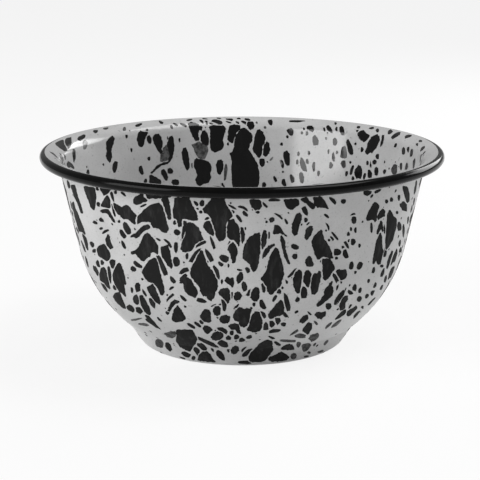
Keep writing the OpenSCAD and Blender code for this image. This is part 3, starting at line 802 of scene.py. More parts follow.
RIGHT_PATCHES = (
    Patch(((321.5, 229.5), (322.5, 233), (323.5, 238), (327, 243), (330.5, 249), (332, 254), (333, 258),
        (331, 258.5), (326, 257), (322.5, 256), (319.5, 259.5), (317, 259), (315, 254), (312.5, 246.5),
        (311.5, 241), (314, 236.5), (318, 232))),
    Patch(((322.5, 259), (327, 258.7), (331, 260), (333, 264), (334.8, 268.5), (331.5, 273), (328.5, 278),
        (325.5, 280.3), (323.3, 279), (322.7, 270))),
    Patch(((374, 202.5), (376, 202.3), (379.5, 206), (378, 210), (376.5, 214), (376.5, 220), (375, 222.5),
        (373.5, 219.5), (367, 220.5), (366.5, 218), (369, 211), (372, 206))),
    Patch(((383, 208.5), (385, 211), (384.5, 216), (381, 217.5), (378, 220), (377.2, 216.5), (379.5, 212))),
    Patch(((389.5, 210), (391.5, 212), (393, 216), (396.5, 219), (396.3, 226), (394.5, 233), (392.5, 240),
        (389, 246), (385.8, 250), (385.5, 243), (386.2, 233), (386.8, 222), (387.5, 214))),
    Patch(((380.3, 232.5), (381.8, 236), (382, 247), (383.5, 251), (382, 256), (380.5, 263.5), (378, 264.5),
        (376, 260), (374.5, 263), (373, 264), (373, 260), (374.8, 250), (376.5, 241), (379, 235))),
    Patch(((380.8, 220.5), (382.3, 223), (383.3, 230), (382.5, 232), (380.8, 228.5), (377.5, 234.5),
        (376.5, 233.5), (378.3, 227.5))),
    Patch(((402.5, 186), (407.5, 187), (409.3, 194), (409, 201), (407, 203), (405.5, 198), (404, 193))),
    Patch(((293.3, 279), (295.5, 272.5), (299, 269.8), (302, 272), (301.5, 279), (300.5, 286), (299.8, 292),
        (297.5, 293.5), (295, 290), (293.5, 284))),
    Patch(((304, 277), (305.5, 270.5), (308.5, 269.8), (311, 273), (310.5, 280), (308.5, 287.5),
        (306, 285.5), (303.3, 282))),
    Patch(((313, 276), (315, 272.8), (317, 274.5), (318.5, 270.5), (320.5, 271.5), (320.8, 277), (319, 284),
        (317.5, 291), (314.5, 294.5), (311.5, 294), (311, 288), (311.5, 281))),
    Patch(((335.7, 271), (339, 269.5), (342, 270.5), (345.5, 269.3), (347, 274.5), (345.5, 278.5),
        (341, 280), (338.5, 276.5))),
    Patch(((324, 295), (324.8, 289.5), (328, 286.5), (329.5, 283.5), (332.5, 281), (331.5, 285),
        (333.3, 290), (332, 296), (327, 300), (322.5, 304), (317.5, 306.5), (316.5, 304.5), (320.5, 300))),
    Patch(((334, 304.5), (335, 300), (339, 294), (344, 289.5), (342.4, 293.8), (339, 299.3),
        (335.8, 304.7)), ragged=0.1),
    Patch(((339.5, 306), (341, 301), (344.5, 296), (347.5, 295.5), (347.8, 299), (345.5, 302), (345, 308),
        (342.5, 310), (340, 310))),
    Patch(((346.8, 314.5), (347.5, 311.5), (351, 309), (354, 307.5), (356, 305.5), (357.3, 307.5),
        (354, 311.5), (350, 315.5), (347.5, 316))),
)
INSIDE_BOLD_PATCHES = (
    Patch(((357.5, 134), (360, 131), (364, 130.5), (366, 133.5), (370, 135.5), (368, 138.5), (364, 142),
        (361, 140), (359, 137.5))),
    Patch(((55, 143.5), (60, 141), (63.5, 140), (64, 144.5), (66, 147.5), (67, 150.5), (64.5, 151),
        (60, 148))),
    Patch(((106, 142.5), (110, 137.5), (112.5, 136), (114.5, 138.5), (113.5, 143), (111.5, 148), (111, 152),
        (112, 156), (110, 162.5), (108, 160.5), (106, 156.5), (107, 151), (106.5, 147))),
    Patch(((137.2, 140), (138.5, 133), (140.5, 130.3), (142, 132), (145, 132), (148, 132.5), (146, 136),
        (144.3, 140.5), (143.5, 144.5), (141.5, 147.3), (139, 145.5))),
    Patch(((152.7, 137), (155, 134.3), (158.5, 133.8), (161, 137), (162.3, 143), (161.5, 149), (163, 153),
        (160, 153.5), (156.5, 148), (153.8, 143))),
    Patch(((169, 138), (171.5, 135.8), (173.5, 138.5), (174, 147), (173, 155), (170.5, 161), (168.5, 161),
        (170, 154), (168, 148.5), (166.5, 145.5), (168, 142))),
    Patch(((150.5, 173.5), (154, 169.5), (158, 165), (164, 162.5), (169.5, 161.5), (168, 163.5), (162, 165),
        (157.5, 168), (152.5, 173))),
    Patch(((149.5, 176), (151, 174.5), (155, 177), (160, 180), (161.5, 183.5), (155, 184), (149.5, 183.5))),
    Patch(((161, 171), (163.5, 169), (166, 172.5), (168, 178), (166.5, 180.5), (164, 178.5), (162, 175))),
    Patch(((182, 153), (183, 148.5), (185.5, 147.5), (187.5, 151.5), (189, 160), (189.5, 166.5),
        (187.5, 170.5), (185.5, 167.5), (183, 160))),
    Patch(((188, 124), (191, 122.3), (195.5, 123), (199.5, 126), (202.5, 127.5), (201.5, 130.5),
        (198.5, 130), (198, 134.5), (199, 140), (195.5, 140.5), (192.5, 136), (190, 129.5))),
    Patch(((200.5, 137), (202.5, 131.5), (204.5, 130.5), (207, 133.5), (208.5, 139), (208, 145.5),
        (204.5, 144.5), (201.5, 142.5))),
    Patch(((194.5, 160), (196.5, 158), (199.5, 159.5), (203, 160.3), (208, 161.5), (210.5, 165),
        (211.5, 169.5), (210, 173.5), (211, 177.5), (209, 182), (203.5, 184), (200.5, 186), (197.5, 184.5),
        (195.5, 179.5), (197.5, 176), (196, 170.5), (194, 166))),
    Patch(((210.5, 131), (209, 127), (213, 125.5), (219, 126), (223.5, 125.5), (225.5, 128.5), (224.5, 134),
        (222.5, 140), (223.5, 145), (222, 149.5), (218, 150.5), (214.5, 152.5), (211, 150), (209.8, 143),
        (210.5, 137))),
    Patch(((216.3, 164), (218, 160.5), (221, 159.5), (223, 162), (222.8, 169), (220.5, 174.5), (218.3, 174),
        (216.8, 169))),
    Patch(((228.5, 129), (230, 125.5), (235, 124.8), (240, 125.3), (240.5, 128), (236.5, 132.5),
        (234.5, 137), (232.5, 143.5), (229.5, 142), (227.5, 139), (228.5, 134))),
    Patch(((234.5, 146), (235, 138.5), (238, 132.5), (241.5, 128.3), (245.5, 128), (249, 131.5),
        (252.3, 135), (252, 140.5), (249.5, 144.5), (248, 149.5), (251, 153), (254.5, 159), (257.5, 165),
        (259, 172), (259, 180), (257.5, 189), (245, 190), (233, 189), (232, 178), (231.5, 168), (232, 160),
        (229.8, 153), (232.5, 152.5))),
    Patch(((246.8, 125), (248.5, 121.5), (252.5, 121.8), (254.3, 125), (252.5, 129), (250, 129.8))),
    Patch(((252.7, 148), (254, 142), (255.5, 135), (257, 130.5), (259, 129.3), (262.5, 132), (265, 137),
        (264.5, 142), (262, 147), (262, 152), (260.5, 156), (258.5, 158), (256, 154.5), (253.5, 151.5))),
    Patch(((263.5, 152), (264, 146.5), (266.5, 141.5), (268.5, 143), (270, 148.5), (268.5, 154),
        (265.5, 156.3), (263.5, 155))),
    Patch(((283.5, 155), (284.5, 151.5), (287, 150.8), (289.5, 154), (290, 161), (289, 165.5),
        (286.8, 165.5), (284.5, 161))),
)
THIN_PATCHES = (
    # The grey share of this patch on the foot is a painted floor reflection.
    Patch(((164, 333.5), (170, 331.5), (175.5, 331.5), (175.5, 336), (172, 338), (167, 336.5)), thin=0.4),
)
INSIDE_THIN_PATCHES = (
    Patch(((160.5, 153.8), (163.3, 153), (163, 148), (166, 145.5), (168, 149), (169.5, 154), (168, 160),
        (164, 161.5), (160, 161.5)), thin=0.4),
    Patch(((191.5, 145), (195, 144), (198.5, 141.5), (203, 144), (207.5, 146.3), (208, 152), (205, 158.5),
        (201.5, 159.5), (198, 157), (195.5, 152.5), (193.5, 147.5)), thin=0.4),
)


OUTSIDE_PATCHES = LEFT_PATCHES + CENTRE_PATCHES + LOWER_PATCHES + RIGHT_PATCHES + THIN_PATCHES
OUTSIDE_DROPS = LEFT_FLANK + CENTRE_LEFT + CENTRE + BELLY + RIGHT_FLANK + FOOT
INSIDE_PATCHES = INSIDE_BOLD_PATCHES + INSIDE_THIN_PATCHES
INSIDE_DROPS = INSIDE_LEFT + INSIDE_CENTRE + INSIDE_RIGHT + LIP_FLECKS


@dataclass(frozen=True)
class Fill:
    """Splashes that are scattered where the photograph doesn't show the face.

    Lengths of the splashes are in the photograph's pixels. They lie between two heights on the face, or on
    the base between two distances from the axis.
    """

    low: float
    high: float
    count: int
    longest: float
    shortest: float
    stretch: float
    lean: float
    behind: bool
    on_base: bool = False


OUTSIDE_FILLS = (
    Fill(low=14 * MM, high=90 * MM, count=46, longest=40, shortest=24, stretch=2.1, lean=16, behind=True),
    Fill(low=11 * MM, high=92 * MM, count=110, longest=22, shortest=11, stretch=2.0, lean=22, behind=True),
    Fill(low=1 * MM, high=94 * MM, count=330, longest=11, shortest=4, stretch=1.7, lean=35, behind=True),
    Fill(low=1 * MM, high=95 * MM, count=260, longest=3.4, shortest=1.3, stretch=1.4, lean=40, behind=False),
)
INSIDE_FILLS = (
    Fill(low=16 * MM, high=46 * MM, count=7, longest=34, shortest=18, stretch=1.8, lean=60, behind=True,
         on_base=True),
    Fill(low=11 * MM, high=48 * MM, count=26, longest=17, shortest=8, stretch=1.8, lean=60, behind=True,
         on_base=True),
    Fill(low=6 * MM, high=49 * MM, count=80, longest=8, shortest=3, stretch=1.6, lean=60, behind=True,
         on_base=True),
    Fill(low=6 * MM, high=86 * MM, count=34, longest=42, shortest=20, stretch=2.6, lean=8, behind=True),
    Fill(low=3.8 * MM, high=92 * MM, count=120, longest=20, shortest=9, stretch=2.2, lean=12, behind=True),
    Fill(low=3.8 * MM, high=97 * MM, count=300, longest=9, shortest=3.5, stretch=1.8, lean=25, behind=True),
    Fill(low=3.8 * MM, high=98 * MM, count=110, longest=3.2, shortest=1.3, stretch=1.4, lean=40,
         behind=False),
)


def select_nothing() -> None:
    """Leave object mode's selection empty."""
    if bpy.context.mode != "OBJECT":
        bpy.ops.object.mode_set(mode="OBJECT")
    bpy.ops.object.select_all(action="DESELECT")


def pick(piece: bpy.types.Object) -> None:
    """Make one object the only selected one, and the active one.

    Args:
        piece: The object.
    """
    select_nothing()
    piece.select_set(True)
    bpy.context.view_layer.objects.active = piece


def turned(name: str, outline: np.ndarray, closed: bool, steps: int, crease: float = 40) -> bpy.types.Object:
    """Turn an outline about the axis into a closed mesh.

    Args:
        name: Name of the piece.
        outline: Points of the section, as radius and height.
        closed: Whether the outline is a loop, or starts and ends on the axis.
        steps: Facets round the axis.
        crease: Angle past which an edge stays sharp, in degrees.

    Returns:
        The turned piece.
    """
    select_nothing()
    bpy.ops.mesh.primitive_circle_add(vertices=len(outline), radius=outline[:, 0].max(), location=(0, 0, 0))
    piece = bpy.context.object
    piece.name = piece.data.name = name
    for vertex, (radius, height) in zip(piece.data.vertices, outline):
        vertex.co = (radius, 0.0, height)
    if not closed:
        last = {0, len(outline) - 1}
        bpy.ops.object.mode_set(mode="EDIT")
        bpy.ops.mesh.select_mode(type="EDGE")
        bpy.ops.mesh.select_all(action="DESELECT")
        bpy.ops.object.mode_set(mode="OBJECT")
        for edge in piece.data.edges:
            edge.select = set(edge.vertices) == last
        bpy.ops.object.mode_set(mode="EDIT")
        bpy.ops.mesh.delete(type="EDGE")
    bpy.ops.object.mode_set(mode="EDIT")
    bpy.ops.mesh.select_mode(type="VERT")
    bpy.ops.mesh.select_all(action="SELECT")
    bpy.ops.mesh.spin(steps=steps, angle=TURN, center=(0, 0, 0), axis=(0, 0, 1))
    bpy.ops.mesh.select_all(action="SELECT")
    bpy.ops.mesh.remove_doubles(threshold=MERGE)
    bpy.ops.mesh.normals_make_consistent(inside=False)
    bpy.ops.object.mode_set(mode="OBJECT")
    bpy.ops.object.shade_smooth_by_angle(angle=math.radians(crease))
    return piece


class NodeTree:
    """A short way to write a material's nodes."""

    MIX_INPUTS = (0, 6, 7)
    MIX_RESULT = 2

    def __init__(self, name: str) -> None:
        """Start a material with its shader and output.

        Args:
            name: Name of the material.
        """
        self.material = bpy.data.materials.new(name)
        self.material.use_nodes = True
        self.tree = self.material.node_tree
        self.shader = self.tree.nodes["Principled BSDF"]

    def add(self, kind: str, links: dict[str | int, object] | None = None,
            **settings: object) -> bpy.types.Node:
        """Add a node.

        Args:
            kind: Blender's name for the node.
            links: Values or output sockets for its inputs, by the input's name or number.
            settings: Values for the node's own properties.

        Returns:
            The node.
        """
        node = self.tree.nodes.new(kind)
        for key, value in settings.items():
            setattr(node, key, value)
        for key, value in (links or {}).items():
            self.feed(node, key, value)
        return node

    def feed(self, node: bpy.types.Node, key: str | int, value: object) -> None:
        """Set an input of a node to a value, or link an output to it.

        Args:
            node: The node.
            key: Name or number of its input.
            value: A value or an output socket.
        """
        if isinstance(value, Socket):
            self.tree.links.new(value, node.inputs[key])
        else:
            node.inputs[key].default_value = value

    def noise(self, where: Socket, scale: float, detail: float, roughness: float) -> Socket:
        """Add a noise texture, and return its value."""
        links = {"Vector": where, "Scale": scale, "Detail": detail, "Roughness": roughness}
        return self.add("ShaderNodeTexNoise", links).outputs["Fac"]

    def between(self, value: Socket, low: float, high: float, start: float, end: float) -> Socket:
        """Map a value from one range to another, clamped."""
        links = {"Value": value, "From Min": low, "From Max": high, "To Min": start, "To Max": end}
        return self.add("ShaderNodeMapRange", links).outputs["Result"]

    def mix(self, share: Socket, first: object, second: object) -> Socket:
        """Mix two colours.

        Args:
            share: Share of the second colour.
            first: First colour, or its socket.
            second: Second colour, or its socket.

        Returns:
            The mixed colour.
        """
        node = self.add("ShaderNodeMix", data_type="RGBA")
        for key, value in zip(self.MIX_INPUTS, (share, first, second)):
            self.feed(node, key, value)
        return node.outputs[self.MIX_RESULT]

    def bump(self, height: Socket, strength: float, distance: float) -> None:
        """Give the shader a bump."""
        links = {"Strength": strength, "Distance": distance, "Height": height}
        self.feed(self.shader, "Normal", self.add("ShaderNodeBump", links).outputs["Normal"])


def grey(value: float) -> Colour:
    """A neutral colour."""
    return (value, value, value, 1.0)


@dataclass(frozen=True)
class PaleEnamel:
    """Pale grey gloss enamel with a fine grain."""

    name: str
    specular: float
    roughness: float
    light: float = 0.62
    dark: float = 0.55
    speck: float = 0.33
    uneven: tuple[float, float] = (-0.03, 0.04)
    cloud_scale: float = 55
    grain_scale: float = 1300
    speck_scale: float = 620
    peel_scale: float = 260

    def material(self) -> bpy.types.Material:
        """Write the finish's nodes.

        Returns:
            The material.
        """
        nodes = NodeTree(self.name)
        where = nodes.add("ShaderNodeTexCoord").outputs["Object"]
        cloud = nodes.noise(where, self.cloud_scale, 3, 0.5)
        grain = nodes.noise(where, self.grain_scale, 2, 0.6)
        specks = nodes.noise(where, self.speck_scale, 1, 0.5)
        base = nodes.mix(nodes.between(cloud, 0.3, 0.7, 0, 1), grey(self.light), grey(self.dark))
        grained = nodes.mix(nodes.between(grain, 0.5, 0.8, 0, 0.35), base, grey(self.speck))
        specked = nodes.mix(nodes.between(specks, 0.69, 0.76, 0, 0.8), grained, grey(self.speck))
        nodes.feed(nodes.shader, "Base Color", specked)
        low, high = (self.roughness + change for change in self.uneven)
        nodes.feed(nodes.shader, "Roughness", nodes.between(cloud, 0.3, 0.7, low, high))
        nodes.shader.inputs["IOR"].default_value = ENAMEL_IOR
        nodes.shader.inputs["Specular IOR Level"].default_value = self.specular
        peel = nodes.noise(where, self.peel_scale, 2, 0.5)
        nodes.bump(peel, 0.06, 0.2 * MM)
        return nodes.material


@dataclass(frozen=True)
class BlackEnamel:
    """Black gloss enamel with faint upright streaks, greyed by each splash's grey share: glaze laid thinly
    on some splashes, a painted highlight and a painted floor reflection on others.
    """

    name: str
    black: float
    streak: float
    washed: float
    specular: float
    roughness: float = 0.12
    uneven: tuple[float, float] = (-0.04, 0.05)
    draw: tuple[float, float, float] = (1.0, 1.0, 0.22)
    streak_scale: float = 320
    cloud_scale: float = 90
    mottle_scale: float = 520
    peel_scale: float = 300

    def material(self) -> bpy.types.Material:
        """Write the finish's nodes.

        Returns:
            The material.
        """
        nodes = NodeTree(self.name)
        where = nodes.add("ShaderNodeTexCoord").outputs["Object"]
        drawn = nodes.add("ShaderNodeMapping", {"Vector": where, "Scale": self.draw}).outputs["Vector"]
        streaks = nodes.noise(drawn, self.streak_scale, 4, 0.65)
        cloud = nodes.noise(where, self.cloud_scale, 2, 0.5)
        lines = nodes.between(streaks, 0.5, 0.8, 0, 1)
        base = nodes.mix(lines, grey(self.black), grey(self.streak))
        # Each splash's grey share: glaze laid thinly on some, and on others a painted highlight on the inner
        # lip and a painted floor reflection at the foot.
        thin = nodes.add("ShaderNodeAttribute", attribute_name="thin").outputs["Fac"]
        mottle = nodes.between(nodes.noise(where, self.mottle_scale, 4, 0.65), 0.38, 0.62, 0.2, 1)
        wash = nodes.add("ShaderNodeMath", {0: thin, 1: mottle}, operation="MULTIPLY")
        nodes.feed(nodes.shader, "Base Color", nodes.mix(wash.outputs[0], base, grey(self.washed)))
        low, high = (self.roughness + change for change in self.uneven)
        nodes.feed(nodes.shader, "Roughness", nodes.between(cloud, 0.3, 0.7, low, high))
        nodes.shader.inputs["IOR"].default_value = ENAMEL_IOR
        nodes.shader.inputs["Specular IOR Level"].default_value = self.specular
        nodes.bump(nodes.noise(where, self.peel_scale, 2, 0.5), 0.05, 0.2 * MM)
        return nodes.material


@dataclass(frozen=True)
class GroundEnamel:
    """Dark bonding enamel with fine bubbles."""

    name: str = "ground_enamel"
    dark: Colour = (0.012, 0.014, 0.022, 1.0)
    pale: Colour = (0.035, 0.04, 0.055, 1.0)
    bubble_scale: float = 900

    def material(self) -> bpy.types.Material:
        """Write the finish's nodes.

        Returns:
            The material.
        """
        nodes = NodeTree(self.name)
        where = nodes.add("ShaderNodeTexCoord").outputs["Object"]
        bubbles = nodes.noise(where, self.bubble_scale, 2, 0.6)
        share = nodes.between(bubbles, 0.45, 0.75, 0, 1)
        nodes.feed(nodes.shader, "Base Color", nodes.mix(share, self.dark, self.pale))
        nodes.feed(nodes.shader, "Roughness", nodes.between(bubbles, 0.3, 0.7, 0.2, 0.4))
        nodes.bump(bubbles, 0.1, 0.1 * MM)
        return nodes.material


@dataclass(frozen=True)
class PickledSteel:
    """Matt steel sheet, pickled before it was coated."""

    name: str = "sheet_steel"
    light: Colour = (0.52, 0.53, 0.54, 1.0)
    dark: Colour = (0.30, 0.31, 0.32, 1.0)
    mottle_scale: float = 420

    def material(self) -> bpy.types.Material:
        """Write the finish's nodes.

        Returns:
            The material.
        """
        nodes = NodeTree(self.name)
        where = nodes.add("ShaderNodeTexCoord").outputs["Object"]
        mottle = nodes.noise(where, self.mottle_scale, 5, 0.65)
        share = nodes.between(mottle, 0.35, 0.7, 0, 1)
        nodes.feed(nodes.shader, "Base Color", nodes.mix(share, self.light, self.dark))
        nodes.feed(nodes.shader, "Roughness", nodes.between(mottle, 0.3, 0.7, 0.38, 0.6))
        nodes.shader.inputs["Metallic"].default_value = 1.0
        nodes.bump(mottle, 0.15, 0.05 * MM)
        return nodes.material


def dress(piece: bpy.types.Object, material: bpy.types.Material) -> None:
    """Give a piece its finish and its body.

    Args:
        piece: The finished piece.
        material: Its material.
    """
    piece.data.materials.clear()
    piece.data.materials.append(material)
    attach(piece, BODY)
    log.info("%s: %d faces, %s", piece.name, len(piece.data.polygons), material.name)


@dataclass
class CoverCoats:
    """The pale coats of both faces and the black band of the rim, as fine turned meshes.

    The edge of the band leans and droops round the rim, spills over the crest on the right, and wobbles in
    waves, each with its count round the rim, its share and its phase. Angles are in degrees.
    """

    section: BowlSection
    steps: int = 256
    lean: float = 9.0
    droop: float = 8.5
    wobble: float = 1.2
    spill: float = 11.0
    spill_at: float = 68.0
    spill_width: float = 36.0
    reach: float = 23.5
    waves: tuple[tuple[int, float, float], ...] = ((5, 1.0, 0.6), (11, 0.7, 2.1), (23, 0.5, 4.0))

    def band_shift(self, azimuth: float) -> float:
        """How far the edge of the band lies from its usual angle on the bead, in degrees.

        Args:
            azimuth: Angle round the axis.

        Returns:
            The shift, which is up over the crest at both sides, most on the right, and down at the back.
        """
        turn = azimuth + math.pi / 2
        from_spill = math.remainder(math.degrees(turn) - self.spill_at, 360) / self.spill_width
        wave = sum(share * math.sin(count * turn + phase) for count, share, phase in self.waves)
        sides = self.lean * (math.cos(turn) - 1) + self.droop * (1 - math.cos(2 * turn))
        return sides + self.wobble * wave + self.spill * math.exp(-from_spill ** 4)

    def waver(self, piece: bpy.types.Object) -> None:
        """Let the edge between the band and the pale coat wander round the rim, as dipping leaves it.

        Args:
            piece: The band or the inner coat.
        """
        at = self.section.bead_at
        for vertex in piece.data.vertices:
            x, y, z = vertex.co
            out = math.hypot(x, y)
            step = np.array([out, z]) - at
            angle = angle_of(step)
            near = 1 - abs(angle - self.section.band_start) / self.reach
            if near <= 0 or np.hypot(*step) > self.section.bead_diameter:
                continue
            shift = near * self.band_shift(math.atan2(y, x))
            placed = at + np.hypot(*step) * unit_step(angle + shift)
            vertex.co = (placed[0] * x / out, placed[0] * y / out, placed[1])

    def build(self, outer: bpy.types.Material, inner: bpy.types.Material, black: bpy.types.Material) -> None:
        """Build and dress the two coats and the band.

        Args:
            outer: Finish of the outer coat.
            inner: Finish of the inner coat.
            black: Finish of the band.
        """
        section = self.section
        outline = np.vstack([section.outside(0.0), section.outside(section.cover_coat)[::-1]])
        outside = turned("pale_coat_outside", outline, False, self.steps)
        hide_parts("cover_coat_outside")
        dress(outside, outer)

        depths = (section.wall, section.wall - section.cover_coat)
        outline = np.vstack([section.inside(depths[0]), section.inside(depths[1])[::-1]])
        inside = turned("pale_coat_inside", outline, False, self.steps)
        self.waver(inside)
        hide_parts("cover_coat_inside")
        dress(inside, inner)

        faces = [section.roll(depth, section.band_start, section.roll_end) for depth in depths]
        band = turned("black_rim_band", np.vstack([faces[0], faces[1][::-1]]), True, self.steps)
        self.waver(band)
        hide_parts("rim_band")
        dress(band, black)


class LaidPatch:
    """A patch laid on a face, with its corners as turns and rises from its centre."""

    def __init__(self, patch: Patch, places: np.ndarray, radius: float, pixel: float) -> None:
        """Measure a patch on its face.

        Args:
            patch: The patch in the photograph.
            places: Azimuth and run of its centre, then of each corner.
            radius: Radius of the face at its centre.
            pixel: Length of a pixel on the face.
        """
        self.azimuth, self.run = places[0]
        self.radius, self.pixel, self.thin = radius, pixel, patch.thin
        turns = np.angle(np.exp(1j * (places[1:, 0] - self.azimuth))) * radius
        self.corners = np.column_stack([turns, places[1:, 1] - self.run])
        self.reach = float(np.abs(self.corners).max())

    def outside(self, azimuth: np.ndarray, run: np.ndarray) -> np.ndarray:
        """Distance outside the patch in pixels, and negative within it.

        Args:
            azimuth: Angles round the axis.
            run: Lengths up the section.

        Returns:
            One distance for each place.
        """
        turn = np.angle(np.exp(1j * (azimuth - self.azimuth))) * self.radius
        place = np.column_stack([turn, run - self.run])[:, None]
        start = self.corners
        side = np.roll(start, -1, axis=0) - start
        share = ((place - start) * side).sum(axis=2) / (side ** 2).sum(axis=1)
        nearest = start + np.clip(share, 0, 1)[..., None] * side
        away = np.linalg.norm(place - nearest, axis=2).min(axis=1)
        below = start[:, 1] > place[..., 1]
        crossed = below != ((start + side)[:, 1] > place[..., 1])
        level = np.where(side[:, 1] == 0, 1.0, side[:, 1])
        crossing = start[:, 0] + (place[..., 1] - start[:, 1]) * side[:, 0] / level
        within = (crossed & (place[..., 0] < crossing)).sum(axis=1) % 2 == 1
        return np.where(within, -away, away) / self.pixel

    def outline(self) -> tuple[np.ndarray, np.ndarray]:
        """Azimuths and runs of the corners."""
        return self.azimuth + self.corners[:, 0] / self.radius, self.run + self.corners[:, 1]


@dataclass
class LaidDrop:
    """A drop laid on a face.

    Its axes are the turn and the rise of a pixel down its length and of a pixel across it. In its own
    frame a plain drop reaches from -1 to 1 both ways.
    """

    drop: Drop
    azimuth: float
    run: float
    radius: float
    axes: np.ndarray
    phases: np.ndarray
    squareness: float = 2.4
    swell: float = 1.12
    ripple: float = 0.1
    bow_reach: float = 1.5

    WAVES = ((2, 0.5), (3, 0.9), (5, 0.8), (9, 0.7))

    def __post_init__(self) -> None:
        """Work out what is asked of it often."""
        self.inverse = np.linalg.inv(self.axes)
        self.thin = self.drop.thin
        self.scale = float(np.linalg.svd(self.axes)[1].mean())
        self.reach = max(self.drop.long, self.drop.wide) * float(np.abs(self.axes).max())

    def edge(self, angle: np.ndarray) -> np.ndarray:
        """Distance of the ragged edge from the centre, in the drop's own frame.

        Args:
            angle: Angles about the centre.

        Returns:
            One distance for each angle.
        """
        ragged = sum(share * np.cos(wave * angle + phase)
                     for (wave, share), phase in zip(self.WAVES, self.phases))
        power = self.squareness
        square = (np.abs(np.cos(angle)) ** power + np.abs(np.sin(angle)) ** power) ** (-1 / power)
        return square * (self.swell + self.ripple * ragged)

    def bowed(self, p: np.ndarray) -> np.ndarray:
        """How far the bow carries the middle across, at each share of the length."""
        return self.drop.bow * (1 - np.clip(p, -self.bow_reach, self.bow_reach) ** 2)

    def widened(self, p: np.ndarray) -> np.ndarray:
        """How many times the taper widens the drop, at each share of the length."""
        return 1 + self.drop.taper * np.clip(p, -1, 1)

    def outside(self, azimuth: np.ndarray, run: np.ndarray) -> np.ndarray:
        """Distance outside the drop in pixels, and negative within it.

        Args:
            azimuth: Angles round the axis.
            run: Lengths up the section.

        Returns:
            One distance for each place.
        """
        drop = self.drop
        turn = np.angle(np.exp(1j * (azimuth - self.azimuth))) * self.radius
        down, across = self.inverse @ np.vstack([turn, run - self.run])
        p = down / (drop.long / 2)
        q = (across - self.bowed(p)) / (drop.wide / 2) / self.widened(p)
        return (np.hypot(p, q) / self.edge(np.arctan2(q, p)) - 1) * min(drop.wide, drop.long) / 2

    def places(self, share: np.ndarray, angle: np.ndarray) -> tuple[np.ndarray, np.ndarray]:
        """Find places at shares of the way from the centre to the edge.

        Args:
            share: Shares of the way.
            angle: Angles about the centre.

        Returns:
            Azimuths and runs.
        """
        drop = self.drop
        reach = share * self.edge(angle)
        p = reach * np.cos(angle)
        q = reach * np.sin(angle) * self.widened(p)
        across = q * drop.wide / 2 + self.bowed(p)
        turn, rise = self.axes @ np.vstack([p * drop.long / 2, across])
        return self.azimuth + turn / self.radius, self.run + rise


